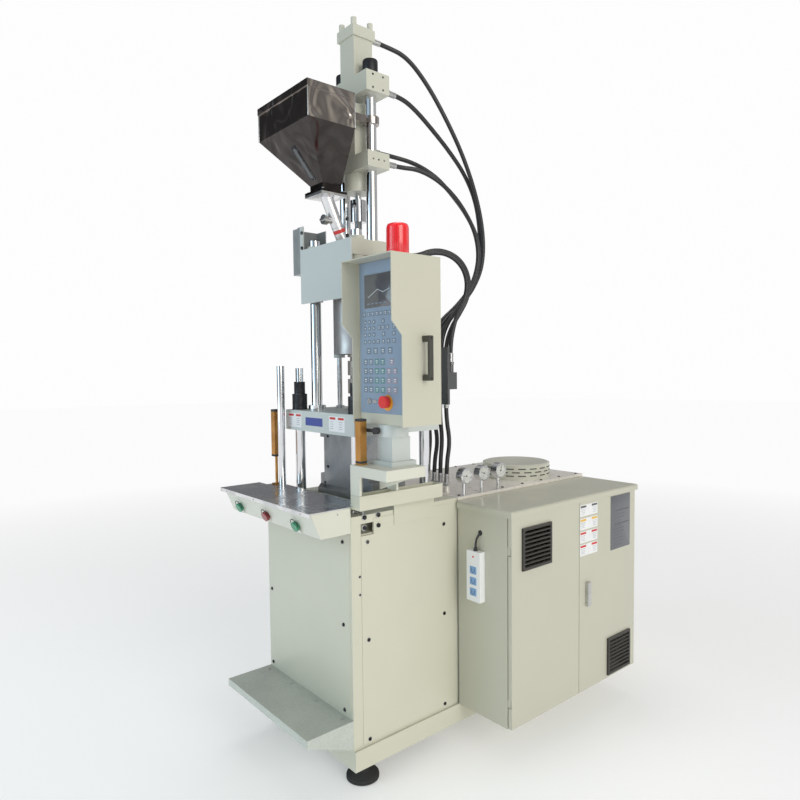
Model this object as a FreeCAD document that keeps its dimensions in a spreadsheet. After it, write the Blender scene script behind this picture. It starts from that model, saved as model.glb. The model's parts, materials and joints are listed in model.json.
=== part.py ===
"""Vertical injection moulding machine, modelled at its real size in millimetres.

Row frame: +Z is up, the front faces -Y and +X is the right-hand side. Sizes are written in the machine
frame, where X = 0 is the middle plane of the column, Y = 0 is the column's front and Z = 0 is the floor.
The cells origin_x and origin_y move every piece from there to the row frame, whose origin is the middle of
the whole outline on the floor.
"""
import FreeCAD, Part
import math
import os
import re

import Sketcher

SIZES = {
    # Clearances
    "fit_gap": 0.05,            # radial running clearance of shafts and pins
    "seat_gap": 0.3,            # air between bodies that move past each other
    "panel_gap": 3,             # reveal round doors and lids
    "turn_gap": 1,              # free air round a turning or pressed part
    # Column and skid
    "column_wide": 632,
    "column_deep": 555,
    "column_top": 1048,
    "column_wall": 8,
    "base_deep": 1470,
    "skid_low": 75,
    "skid_tall": 80,
    "skid_rail": 60,
    "skid_lip": 10,
    "toe_plate_tall": 190,
    "deck_thick": 12,
    "panel_thick": 2,
    "panel_edge": 12,
    "side_panel_start": 45,
    "side_panel_end": 505,
    "side_panel_low": 165,
    "side_panel_tall": 865,
    "front_panel_low": 290,
    "front_panel_tall": 690,
    "window_deep": 60,
    "window_tall": 46,
    "screw_radius": 5,
    "screw_head": 4,
    # Feet
    "pad_radius": 65,
    "pad_tall": 34,
    "pad_rim": 16,
    "pad_neck": 24,
    "stud_radius": 10,
    "stud_tall": 92,
    "foot_nut_radius": 17,
    "foot_nut_tall": 14,
    "foot_in": 55,
    "foot_back": 80,
    # Step
    "step_top": 274,
    "step_reach": 205,
    "step_sheet": 4,
    "step_lip": 30,
    "gusset_drop": 112,
    # Bed and table
    "bed_half": 256,
    "ledge_reach": 18,
    "bed_front": 65,
    "bed_back": 510,
    "bed_low": 975,
    "bed_top": 1052,
    "fixing_radius": 6,
    "fixing_deep": 30,
    "fixing_x": 150,
    "fixing_y": 125,
    "slot_wide": 18,
    "slot_tall": 12,
    "slot_pitch": 75,
    "table_left": 384,
    "table_right": 332,
    "table_front": 190,
    "table_back": 60,
    "table_top": 1092,
    "table_sheet": 3,
    "table_hem": 16,
    "desk_left": 372,
    "desk_right": 318,
    "desk_drop": 100,
    "desk_lean": 44,
    "desk_sheet": 4,
    "desk_deep": 150,
    # Push buttons
    "button_radius": 15,
    "button_bezel": 19,
    "button_tall": 12,
    "button_pitch": 227,
    "button_shift": 45,
    "button_low": 18,
    "button_travel": 5,
    "mushroom_radius": 20,
    # Side tray and arm
    "tray_reach": 57,
    "tray_low": 1080,
    "tray_top": 1134,
    "tray_wall": 4,
    "tray_end": 417,
    "arm_reach": 213,
    "arm_deep": 184,
    "arm_top": 1246,
    "arm_thick": 40,
    "arm_web": 96,
    "arm_wall": 10,
    # Pedestal and control box
    "post_x": 416,
    "post_y": 128,
    "pedestal_plate": 16,
    "pedestal_wide": 118,
    "pedestal_block": 86,
    "pedestal_tall": 88,
    "collar_radius": 55,
    "collar_tall": 45,
    "box_wide": 292,
    "box_deep": 153,
    "box_front": 80,
    "box_left": 270,
    "box_tall": 600,
    "box_wall": 4,
    "hood_reach": 75,
    "hood_sheet": 4,
    "hood_step": 232,
    "hood_low_reach": 30,
    "keypad_wide": 246,
    "keypad_tall": 555,
    "keypad_low": 40,
    "keypad_in": 15,
    "keypad_thick": 3,
    "handle_span": 158,
    "handle_low": 160,
    "handle_out": 40,
    "handle_bar": 12,
    "handle_y": 150,
    "stop_radius": 22,
    "stop_ring": 28,
    "stop_tall": 24,
    "stop_travel": 5,
    "stop_in": 177,
    "stop_low": 56,
    "beacon_radius": 43,
    "beacon_tall": 112,
    "beacon_base": 25,
    "beacon_x": 406,
    "beacon_y": 165,
    "lever_radius": 7,
    "lever_reach": 62,
    "lever_hub": 13,
    # Tie bars and moving platen
    "bar_radius": 22.5,
    "bar_x": 210,
    "bar_front": 110,
    "bar_back": 465,
    "bar_low": 236,
    "bar_thread_radius": 16.5,
    "bar_top": 1605,
    "platen_low": 1338,
    "platen_top": 1424,
    "platen_bore": 72,
    "nut_radius": 32.5,
    "nut_top": 1492,
    "collar_bar_radius": 24,
    "collar_bar_tall": 53,
    # Clamp cylinder
    "crosshead_low": 262,
    "crosshead_thick": 70,
    "crosshead_half": 250,
    "ram_radius": 45,
    "piston_radius": 62,
    "piston_tall": 40,
    "cylinder_radius": 80,
    "cylinder_low": 620,
    "gland_tall": 45,
        # Mould
    "mould_front": 200,
    "mould_back": 375,
    "mould_half": 189,
    "mould_body_half": 160,
    "mould_line": 1136,
    "mould_plate_low": 1298,
    "mould_foot_tall": 22,
    "locating_radius": 50,
    "sprue_radius": 30,
    # Light curtains and post
    "curtain_x": 284,
    "curtain_in": 29,
    "curtain_y": 30,
    "curtain_wide": 30,
    "curtain_low": 1218,
    "curtain_high": 1424,
    "curtain_right_high": 1415,
    "curtain_foot": 32,
    "curtain_sole": 6,
    "curtain_stalk": 6,
    "guard_post_x": 234,
    "guard_post_radius": 16,
    "guard_post_top": 1615,
    # Tank and pump
    "tank_low": 155,
    "tank_top": 1036,
    "tank_wall": 5,
    "tank_start": 559,
    "cover_thick": 12,
    "cover_lip": 6,
    "cowl_radius": 167,
    "cowl_tall": 72,
    "cowl_wall": 4,
    "cowl_x": 116,
    "cowl_y": 1180,
    "motor_radius": 110,
    "motor_drop": 380,
    "pump_radius": 60,
    "pump_drop": 150,
    "gauge_radius": 34,
    "gauge_thick": 30,
    "gauge_x": 288,
    "gauge_first": 612,
    "gauge_pitch": 110,
    "gauge_high": 1134,
    "gauge_stem": 8,
    # Electric cabinet
    "cabinet_start": 552,
    "cabinet_long": 908,
    "cabinet_reach": 300,
    "cabinet_low": 155,
    "cabinet_tall": 853,
    "cabinet_wall": 4,
    "door_thick": 18,
    "door_sheet": 3,
    "hinge_radius": 5,
    "hinge_root": 10,           # the leaf reaches this far in behind the door
    "pin_cover": 4,
    "lid_thick": 27,
    "lid_over": 9,
    "lid_round": 9,
    "grille_wide": 186,
    "grille_tall": 172,
    "grille_thick": 9,
    "grille_bar": 5,
    "left_grille_in": 61,
    "left_grille_low": 629,
    "right_grille_in": 217,
    "right_grille_low": 14,
    "latch_in": 57,
    "latch_low": 385,
    "latch_tall": 106,
    "latch_wide": 22,
    "latch_thick": 14,
    "strip_x": 440,
    "strip_wide": 74,
    "strip_thick": 30,
    "strip_low": 640,
    "strip_tall": 208,
    # Guide rods and nozzle cylinders
    "guide_radius": 23,
    "guide_x": 152,
    "guide_y": 163,
    "guide_top": 2152,
    "guide_flange": 38,
    "guide_flange_tall": 18,
    "carriage_rod_radius": 11,
    "carriage_rod_x": 152,
    "carriage_rod_y": 285,
    "carriage_tube_radius": 25,
    "carriage_tube_low": 1650,
    "carriage_rod_top": 1840,
    "carriage_piston": 18,
        # Injection base
    "axis_y": 287.5,
    "base_half": 186,
    "base_front": 119,
    "base_back": 400,
    "base_low": 2050,
    "base_top": 2113,
    "head_radius": 50,
    "feed_bore": 17,
    "feed_end": 2030,
    "guard_thick": 8,
    "guard_low": 1882,
    "side_box_wide": 72,
    "side_box_deep": 128,
    "side_box_lap": 20,
    "side_box_low": 2013,
    "side_box_tall": 200,
    "side_box_wall": 4,
    # Barrel and screw
    "barrel_radius": 44,
    "barrel_bore": 17.5,
    "barrel_seat": 22,
    "barrel_low": 1480,
    "heater_radius": 54,
    "heater_tall": 62,
    "heater_pitch": 78,
    "nozzle_low": 1333,
    "nozzle_radius": 26,
    "nozzle_tip": 9,
    "cover_radius": 112,
    "cover_low": 1662,
    "cover_wall": 3,
    "screw_clear": 0.1,
    "screw_low": 1600,
    "screw_pitch": 32,
    "shank_radius": 15,
    "coupling_radius": 34,
    "coupling_tall": 92,
    "coupling_low": 2222,
        # Upper unit
    "upper_rod_x": 95,
    "upper_rod_radius": 22.5,
        "bracket_low": 2420,
    "bracket_top": 2484,
    "bracket_half": 146,
    "bracket_deep": 112,
    "housing_radius": 56,
    "housing_drop": 76,
    "housing_neck": 40,
    "motor_top": 2700,
    "motor_half": 50,
    "head_low": 2722,
    "head_top": 2802,
    "head_half": 146,
    "head_deep": 118,
    "head_nut_radius": 30,
    "head_nut_tall": 62,
    "ram_cylinder_half": 48,
    "ram_cylinder_top": 2972,
    "cap_half": 57,
    "cap_thick": 44,
        "tie_nut_radius": 12,
    "tie_nut_tall": 30,
    "drive_rod_radius": 14,
    # Hopper
    "hopper_x": 3,
    "hopper_y": 30,
    "hopper_half_x": 187,
    "hopper_half_y": 107,
    "hopper_top": 2662,
    "hopper_box_low": 2532,
    "hopper_low": 2348,
    "hopper_neck": 46,
    "hopper_sheet": 3,
    "hopper_rim": 26,
    "lid_rise": 8,
    "lid_gap": 0.5,
    "lid_pin": 3,
    "flange_y": 122,
    "flange_high": 2310,
    "flange_half": 62,
    "flange_thick": 10,
    "chute_radius": 25,
    "chute_wall": 3,
    "chute_base_y": 213,
    "knob_y": 160,
    "knob_z": 2212,
    "knob_boss": 13,
    "knob_reach": 36,
    "knob_stem": 6,
    "knob_radius": 20,
    "knob_thick": 18,
    # Manifold and hoses
    "manifold_x": 150,
    "manifold_y": 590,
    "manifold_low": 1440,
    "manifold_high": 1690,
    "manifold_plate": 12,
    "manifold_half": 92,
    "fitting_radius": 13,
    "fitting_tall": 46,
    "fitting_long": 14,
    "hose_radius": 9.5,
}

# Cells worked out from the driving sizes: the outline's left, right, front and back ends give the origin.
FORMULAS = {
    "column_half": "column_wide / 2",
    "cabinet_face": "column_half + cabinet_reach",
    "curtain_right_x": "column_half + curtain_in",
    "outline_left": "-table_left",
    "outline_right": "cabinet_face + latch_thick + turn_gap",
    "outline_front": "-step_reach",
    "outline_back": "base_deep + skid_lip",
    "origin_x": "-(outline_left + outline_right) / 2",
    "origin_y": "-(outline_front + outline_back) / 2",
    "cabinet_end": "cabinet_start + cabinet_long",
    "door_long": "(cabinet_long - 3 * panel_gap) / 2",
    "box_low": "arm_top + pedestal_plate + pedestal_tall + collar_tall + seat_gap",
    "tie_inset": "cap_half - 15",
    "cap_top": "ram_cylinder_top + cap_thick",
}


class Model:
    """A document whose objects take their sizes from one sheet of named cells."""

    def __init__(self):
        self.doc = FreeCAD.newDocument("InjectionMouldingMachine")
        self.sheet = self.doc.addObject("Spreadsheet::Sheet", "Sizes")
        for row, (name, size) in enumerate(SIZES.items(), start=1):
            self.sheet.set(f"A{row}", str(size))
            self.sheet.setAlias(f"A{row}", name)
        for row, (name, formula) in enumerate(FORMULAS.items(), start=1):
            self.sheet.set(f"B{row}", f"={formula}")
            self.sheet.setAlias(f"B{row}", name)
        self.doc.recompute()
        self.nodes = []

    def bound(self, text):
        """The expression with each named size read from the sheet."""
        names = SIZES.keys() | FORMULAS.keys()
        return re.sub(r"[a-z_]+", lambda word: f"Sizes.{word[0]}" if word[0] in names else word[0], str(text))

    def number(self, text):
        """The expression's present value."""
        return float(self.sheet.evalExpression(self.bound(text)))

    def place(self, thing, at, turn=(0, 0, 1, 0)):
        """Binds the object's place, given in the machine frame; turn is an axis and an angle in degrees."""
        thing.Placement = FreeCAD.Placement(FreeCAD.Vector(), FreeCAD.Rotation(FreeCAD.Vector(*turn[:3]), turn[3]))
        for letter, text, shift in zip("xyz", at, (" + origin_x", " + origin_y", "")):
            thing.setExpression(f"Placement.Base.{letter}", self.bound(f"({text}){shift}"))
        return thing

    def add(self, kind, sizes, at, turn=(0, 0, 1, 0)):
        """A primitive of the given kind with its sizes and place bound to the sheet."""
        thing = self.doc.addObject(kind, "Piece")
        for name, text in sizes.items():
            thing.setExpression(name, self.bound(text))
        return self.place(thing, at, turn)

    def box(self, size, at):
        """A block from its low corner."""
        return self.add("Part::Box", dict(zip(("Length", "Width", "Height"), size)), at)

    def middle_box(self, size, at):
        """A block from the middle of its bottom face."""
        x, y, z = at
        return self.box(size, (f"{x} - ({size[0]}) / 2", f"{y} - ({size[1]}) / 2", z))

    def rod(self, radius, tall, at, along="Z"):
        """A cylinder from the middle of its first end, along +X, +Y or +Z."""
        turn = {"Z": (0, 0, 1, 0), "X": (0, 1, 0, 90), "Y": (1, 0, 0, -90)}[along]
        return self.add("Part::Cylinder", {"Radius": radius, "Height": tall}, at, turn)

    def cone(self, low, high, tall, at, turn=(0, 0, 1, 0)):
        """A cone from the middle of its low end."""
        return self.add("Part::Cone", {"Radius1": low, "Radius2": high, "Height": tall}, at, turn)

    def fuse(self, *pieces):
        """One solid out of touching pieces."""
        joined = self.doc.addObject("Part::MultiFuse", "Joined")
        joined.Shapes = list(pieces)
        joined.Refine = True
        return joined

    def cut(self, base, *tools):
        """The base less all the tools."""
        less = self.doc.addObject("Part::Cut", "Less")
        less.Base = base
        less.Tool = tools[0] if len(tools) == 1 else self.fuse(*tools)
        less.Refine = True
        return less

    def group(self, *pieces):
        """Separate solids in one node."""
        together = self.doc.addObject("Part::Compound", "Group")
        together.Links = list(pieces)
        return together

    def sketch(self, body, role, points):
        """A closed outline on one of the body's origin planes, each corner bound to the sheet."""
        drawing = body.newObject("Sketcher::SketchObject", "Outline")
        plane = next(item for item in body.Origin.OriginFeatures if item.Role == role)
        drawing.AttachmentSupport = [(plane, "")]
        drawing.MapMode = "FlatFace"
        corners = [FreeCAD.Vector(self.number(x), self.number(y), 0) for x, y in points]
        for start, end in zip(corners, corners[1:] + corners[:1]):
            drawing.addGeometry(Part.LineSegment(start, end), False)
        for line in range(len(points)):
            drawing.addConstraint(Sketcher.Constraint("Coincident", line, 2, (line + 1) % len(points), 1))
        for line, (corner, texts) in enumerate(zip(corners, points)):
            for kind, size, text in zip(("DistanceX", "DistanceY"), corner, texts):
                index = drawing.addConstraint(Sketcher.Constraint(kind, -1, 1, line, 1, size))
                drawing.setExpression(f"Constraints[{index}]", self.bound(text))
        return drawing

    def extrusion(self, role, points, length, at):
        """A body padded from an outline: XY along +Z, YZ along +X, XZ along +Y."""
        body = self.doc.addObject("PartDesign::Body", "Profile")
        pad = body.newObject("PartDesign::Pad", "Pad")
        pad.Profile = self.sketch(body, role, points)
        pad.Reversed = role == "XZ_Plane"
        pad.setExpression("Length", self.bound(length))
        return self.place(body, at)

    def turned(self, points, at, turn=(0, 0, 1, 0)):
        """A body revolved about its own Z axis from points of (radius, height)."""
        body = self.doc.addObject("PartDesign::Body", "Turned")
        spin = body.newObject("PartDesign::Revolution", "Revolution")
        drawing = self.sketch(body, "XZ_Plane", points)
        spin.Profile = drawing
        spin.ReferenceAxis = (drawing, ["V_Axis"])
        spin.Angle = 360
        return self.place(body, at, turn)

    def rounded(self, body, radius, picked):
        """Rounds the edges of the body's last feature that the test picks."""
        self.doc.recompute()
        base = body.Tip
        edges = [f"Edge{number}" for number, edge in enumerate(base.Shape.Edges, start=1) if picked(edge)]
        rounding = body.newObject("PartDesign::Fillet", "Round")
        rounding.Base = (base, edges)
        rounding.setExpression("Radius", self.bound(radius))
        body.Tip = rounding
        return body

    def node(self, name, thing):
        """Names the finished sub-part."""
        thing.Label = name
        self.nodes.append(thing)
        return thing


def upright(edge):
    """True for a straight edge along Z."""
    ends = [vertex.Point for vertex in edge.Vertexes]
    return len(ends) == 2 and (ends[1] - ends[0]).getAngle(FreeCAD.Vector(0, 0, 1)) % math.pi < 0.001


SIDES = ("", "-")
BAR_SPOTS = [(f"{side}bar_x", y) for side in SIDES for y in ("bar_front", "bar_back")]
FOOT_SPOTS = [
    (f"{side}(column_half - foot_in)", y) for side in SIDES for y in ("foot_back", "base_deep - foot_back")
]

UPPER_PORTS = ("-75", "-45", "-15", "15", "45", "75")
LOWER_PORTS = ("-75", "-35", "5", "45")
BASE_PORTS = (("135", "2082"), ("170", "2070"))


def frame_pieces(model):
    """Skid, column, covers, step and feet."""
    skid = model.box(
        ("column_wide + 2 * skid_lip", "base_deep + skid_lip", "skid_tall"), ("-column_half - skid_lip", "0", "skid_low")
    )
    skid_hole = model.box(
        ("column_wide + 2 * skid_lip - 2 * skid_rail", "base_deep + skid_lip - 2 * skid_rail", "skid_tall"),
        ("-column_half - skid_lip + skid_rail", "skid_rail", "skid_low"),
    )
    cross_rail = model.box(
        ("column_wide", "skid_rail", "skid_tall"), ("-column_half", "column_deep - skid_rail", "skid_low")
    )
    shell = model.box(
        ("column_wide", "column_deep", "column_top - deck_thick - skid_low - skid_tall"),
        ("-column_half", "0", "skid_low + skid_tall"),
    )
    hollow = model.box(
        ("column_wide - 2 * column_wall", "column_deep - 2 * column_wall", "column_top"),
        ("-column_half + column_wall", "column_wall", "skid_low"),
    )
    deck = model.box(
        ("column_wide", "column_deep", "deck_thick"), ("-column_half", "0", "column_top - deck_thick")
    )
    bed_hole = model.box(
        ("2 * bed_half + 2 * turn_gap", "bed_back - bed_front + 2 * turn_gap", "column_top"),
        ("-bed_half - turn_gap", "bed_front - turn_gap", "skid_low"),
    )
    ledges = [
        model.box(
            ("column_half - column_wall - bed_half + ledge_reach", "column_deep - 2 * column_wall", "deck_thick"),
            (x, "column_wall", "bed_low - deck_thick"),
        )
        for x in ("-column_half + column_wall", "bed_half - ledge_reach")
    ]
    window = model.box(
        ("column_wall", "window_deep", "window_tall"),
        ("column_half - column_wall", "side_panel_start", "column_top - deck_thick - 20 - window_tall"),
    )
    service_ways = [
        model.box(
            ("column_wall", "side_panel_end - side_panel_start - 2 * panel_edge - window_deep", "side_panel_tall - 160"),
            (x, "side_panel_start + panel_edge + window_deep", "side_panel_low + 40"),
        )
        for x in ("-column_half", "column_half - column_wall")
    ]
    back_way = model.box(
        ("column_wide - 160", "column_wall", "side_panel_tall - 160"),
        ("-column_half + 80", "column_deep - column_wall", "side_panel_low + 40"),
    )
    stud_holes = [
        model.rod("stud_radius + fit_gap", "skid_tall", (x, y, "skid_low")) for x, y in FOOT_SPOTS
    ]
    column = model.fuse(
        model.cut(skid, skid_hole), cross_rail, model.cut(shell, hollow), model.cut(deck, bed_hole), *ledges
    )
    model.node("machine_frame", model.cut(column, window, *service_ways, back_way, *stud_holes))

    feet = []
    for x, y in FOOT_SPOTS:
        pad = model.turned(
            [
                ("0", "0"),
                ("pad_radius", "0"),
                ("pad_radius", "pad_rim"),
                ("pad_neck", "pad_tall"),
                ("0", "pad_tall"),
            ],
            (x, y, "0"),
        )
        stud = model.rod("stud_radius", "stud_tall", (x, y, "pad_tall"))
        nut = model.rod("foot_nut_radius", "foot_nut_tall", (x, y, "skid_low - foot_nut_tall"))
        feet.append(model.fuse(pad, stud, nut))
    model.node("levelling_feet", model.group(*feet))

    front = model.box(
        ("column_wide - 2 * panel_edge", "panel_thick", "front_panel_tall"),
        ("-column_half + panel_edge", "-panel_thick", "front_panel_low"),
    )
    sides = [
        model.cut(
            model.box(
                ("panel_thick", "side_panel_end - side_panel_start", "side_panel_tall"),
                (x, "side_panel_start", "side_panel_low"),
            ),
            model.box(
                ("panel_thick", "window_deep", "window_tall + 30"),
                (x, "side_panel_start", "column_top - deck_thick - 20 - window_tall"),
            ),
        )
        for x in ("-column_half - panel_thick", "column_half")
    ]
    model.node("column_panels", model.group(front, *sides))

    tread = model.box(
        ("column_wide", "step_reach", "step_sheet"), ("-column_half", "-step_reach", "step_top - step_sheet")
    )
    front_lip = model.box(
        ("column_wide", "step_sheet", "step_lip"), ("-column_half", "-step_reach", "step_top - step_lip")
    )
    back_flange = model.box(
        ("column_wide", "step_sheet", "step_lip"), ("-column_half", "-step_sheet", "step_top - step_lip")
    )
    gussets = [
        model.extrusion(
            "YZ_Plane",
            [
                ("0", "0"),
                ("0", "-gusset_drop"),
                ("-step_sheet", "-gusset_drop"),
                ("-step_reach", "-step_lip"),
                ("-step_reach", "0"),
            ],
            "step_sheet",
            (x, "0", "step_top"),
        )
        for x in ("-column_half", "column_half - step_sheet")
    ]
    model.node("step_plate", model.fuse(tread, front_lip, back_flange, *gussets))


def bed_pieces(model):
    """Fixed platen, lower mould half, table, operator panel and light curtains."""
    bed = model.box(
        ("2 * bed_half", "bed_back - bed_front", "bed_top - bed_low"), ("-bed_half", "bed_front", "bed_low")
    )
    bores = [model.rod("bar_radius + fit_gap", "bed_top - bed_low", (x, y, "bed_low")) for x, y in BAR_SPOTS]
    slots = [
        model.box(
            ("2 * bed_half", "slot_wide", "slot_tall"),
            ("-bed_half", f"axis_y + ({step}) * slot_pitch - slot_wide / 2", "bed_top - slot_tall"),
        )
        for step in (-1.5, 1.5)
    ]
    fixings = [
        model.rod("fixing_radius", "fixing_deep", (f"{x}fixing_x", f"axis_y {y} fixing_y", "bed_top - fixing_deep"))
        for x in SIDES
        for y in "+-"
    ]
    model.node("lower_platen", model.cut(bed, *bores, *slots, *fixings))

    foot = model.extrusion(
        "YZ_Plane",
        [
            ("mould_front - 16", "0"),
            ("mould_back + 16", "0"),
            ("mould_back + 16", "mould_foot_tall"),
            ("mould_back", "mould_foot_tall + 16"),
            ("mould_back", "mould_line - bed_top"),
            ("mould_front", "mould_line - bed_top"),
            ("mould_front", "mould_foot_tall + 16"),
            ("mould_front - 16", "mould_foot_tall"),
        ],
        "2 * mould_half",
        ("-mould_half", "0", "bed_top"),
    )
    cavity = model.rod("sprue_radius", "8", ("0", "axis_y", "mould_line - 8"))
    model.node("mould_lower_half", model.cut(foot, cavity))

    top = model.box(
        ("table_left + table_right", "table_front - panel_thick", "table_sheet"),
        ("-table_left", "-table_front", "table_top - table_sheet"),
    )
    back_part = model.box(
        ("2 * column_half - 2 * panel_thick", "table_back + panel_thick", "table_sheet"),
        ("-column_half + panel_thick", "-panel_thick", "table_top - table_sheet"),
    )
    hem = model.box(
        ("table_left + table_right", "table_sheet", "table_hem"),
        ("-table_left", "-table_front", "table_top - table_hem"),
    )
    back_leg = model.box(
        ("2 * column_half - 2 * panel_thick", "table_sheet", "table_top - column_top"),
        ("-column_half + panel_thick", "table_back - table_sheet", "column_top"),
    )
    model.node("work_table", model.fuse(top, back_part, hem, back_leg))

    face = model.extrusion(
        "YZ_Plane",
        [
            ("-table_front + 12", "0"),
            ("-table_front + 12 + desk_lean", "-desk_drop"),
            ("-table_front + 12 + desk_lean + desk_sheet", "-desk_drop"),
            ("-table_front + 12 + desk_sheet", "0"),
        ],
        "desk_left + desk_right",
        ("-desk_left", "0", "table_top - table_sheet"),
    )
    cheeks = [
        model.extrusion(
            "YZ_Plane",
            [
                ("-table_front + 12 + desk_sheet", "0"),
                ("-table_front + 12 + desk_lean + desk_sheet", "-desk_drop"),
                ("-panel_thick", "-desk_drop"),
                ("-panel_thick", "0"),
            ],
            "desk_sheet",
            (x, "0", "table_top - table_sheet"),
        )
        for x in ("-column_half", "desk_right - desk_sheet")
    ]
    wing = model.extrusion(
        "YZ_Plane",
        [
            ("-table_front + 12 + desk_sheet", "0"),
            ("-table_front + 12 + desk_lean + desk_sheet", "-desk_drop"),
            ("-table_front + desk_deep", "-desk_drop / 2"),
            ("-table_front + desk_deep", "0"),
        ],
        "desk_sheet",
        ("-desk_left", "0", "table_top - table_sheet"),
    )
    panel = model.fuse(face, *cheeks, wing)
    lean = math.degrees(math.atan2(model.number("desk_lean"), model.number("desk_drop")))
    middle = (
        "-table_front + 12 + desk_lean / 2 + button_low * desk_lean / desk_drop",
        "table_top - table_sheet - desk_drop / 2 - button_low",
    )
    across = [
        ("-button_pitch - button_shift", "button_radius"),
        ("-button_shift", "button_radius"),
        ("button_pitch - button_shift", "button_radius"),
    ]
    holes = [
        model.add(
            "Part::Cylinder",
            {"Radius": f"{radius} + fit_gap", "Height": "60"},
            (x, f"{middle[0]} - 20", f"{middle[1]} - 20 * desk_lean / desk_drop"),
            (1, 0, 0, -90 + lean),
        )
        for x, radius in across
    ]
    model.node("button_panel", model.cut(panel, *holes))
    names = ("green_button_left", "red_button", "green_button_right")
    heads = ("button_bezel", "mushroom_radius", "button_bezel")
    for name, head, (x, radius) in zip(names, heads, across):
        button = model.turned(
            [
                ("0", "0"),
                (f"{radius}", "0"),
                (f"{radius}", "25 - button_travel"),
                (head, "25 - button_travel"),
                (head, "25 + button_tall - button_travel"),
                ("0", "25 + button_tall - button_travel"),
            ],
            (x, f"{middle[0]} + 14", f"{middle[1]} + 14 * desk_lean / desk_drop"),
            (1, 0, 0, 90 + lean),
        )
        model.node(name, button)

    sticks = []
    stands = (
        ("-curtain_x", "table_top", "curtain_low", "curtain_high"),
        ("curtain_right_x", "arm_top", "arm_top + curtain_sole", "curtain_right_high"),
    )
    for x, ground, low, high in stands:
        body = model.middle_box(("curtain_wide", "curtain_wide", f"{high} - ({low})"), (x, "curtain_y", low))
        stalk = model.rod("curtain_stalk", f"{low} - {ground}", (x, "curtain_y", ground))
        sole = model.middle_box(("curtain_foot", "curtain_foot", "curtain_sole"), (x, "curtain_y", ground))
        sticks.append(model.fuse(body, stalk, sole))
    model.node("light_curtains", model.group(*sticks))
    post = model.rod("guard_post_radius", "guard_post_top - table_top", ("-guard_post_x", "curtain_y", "table_top"))
    model.node("curtain_post", post)


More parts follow.
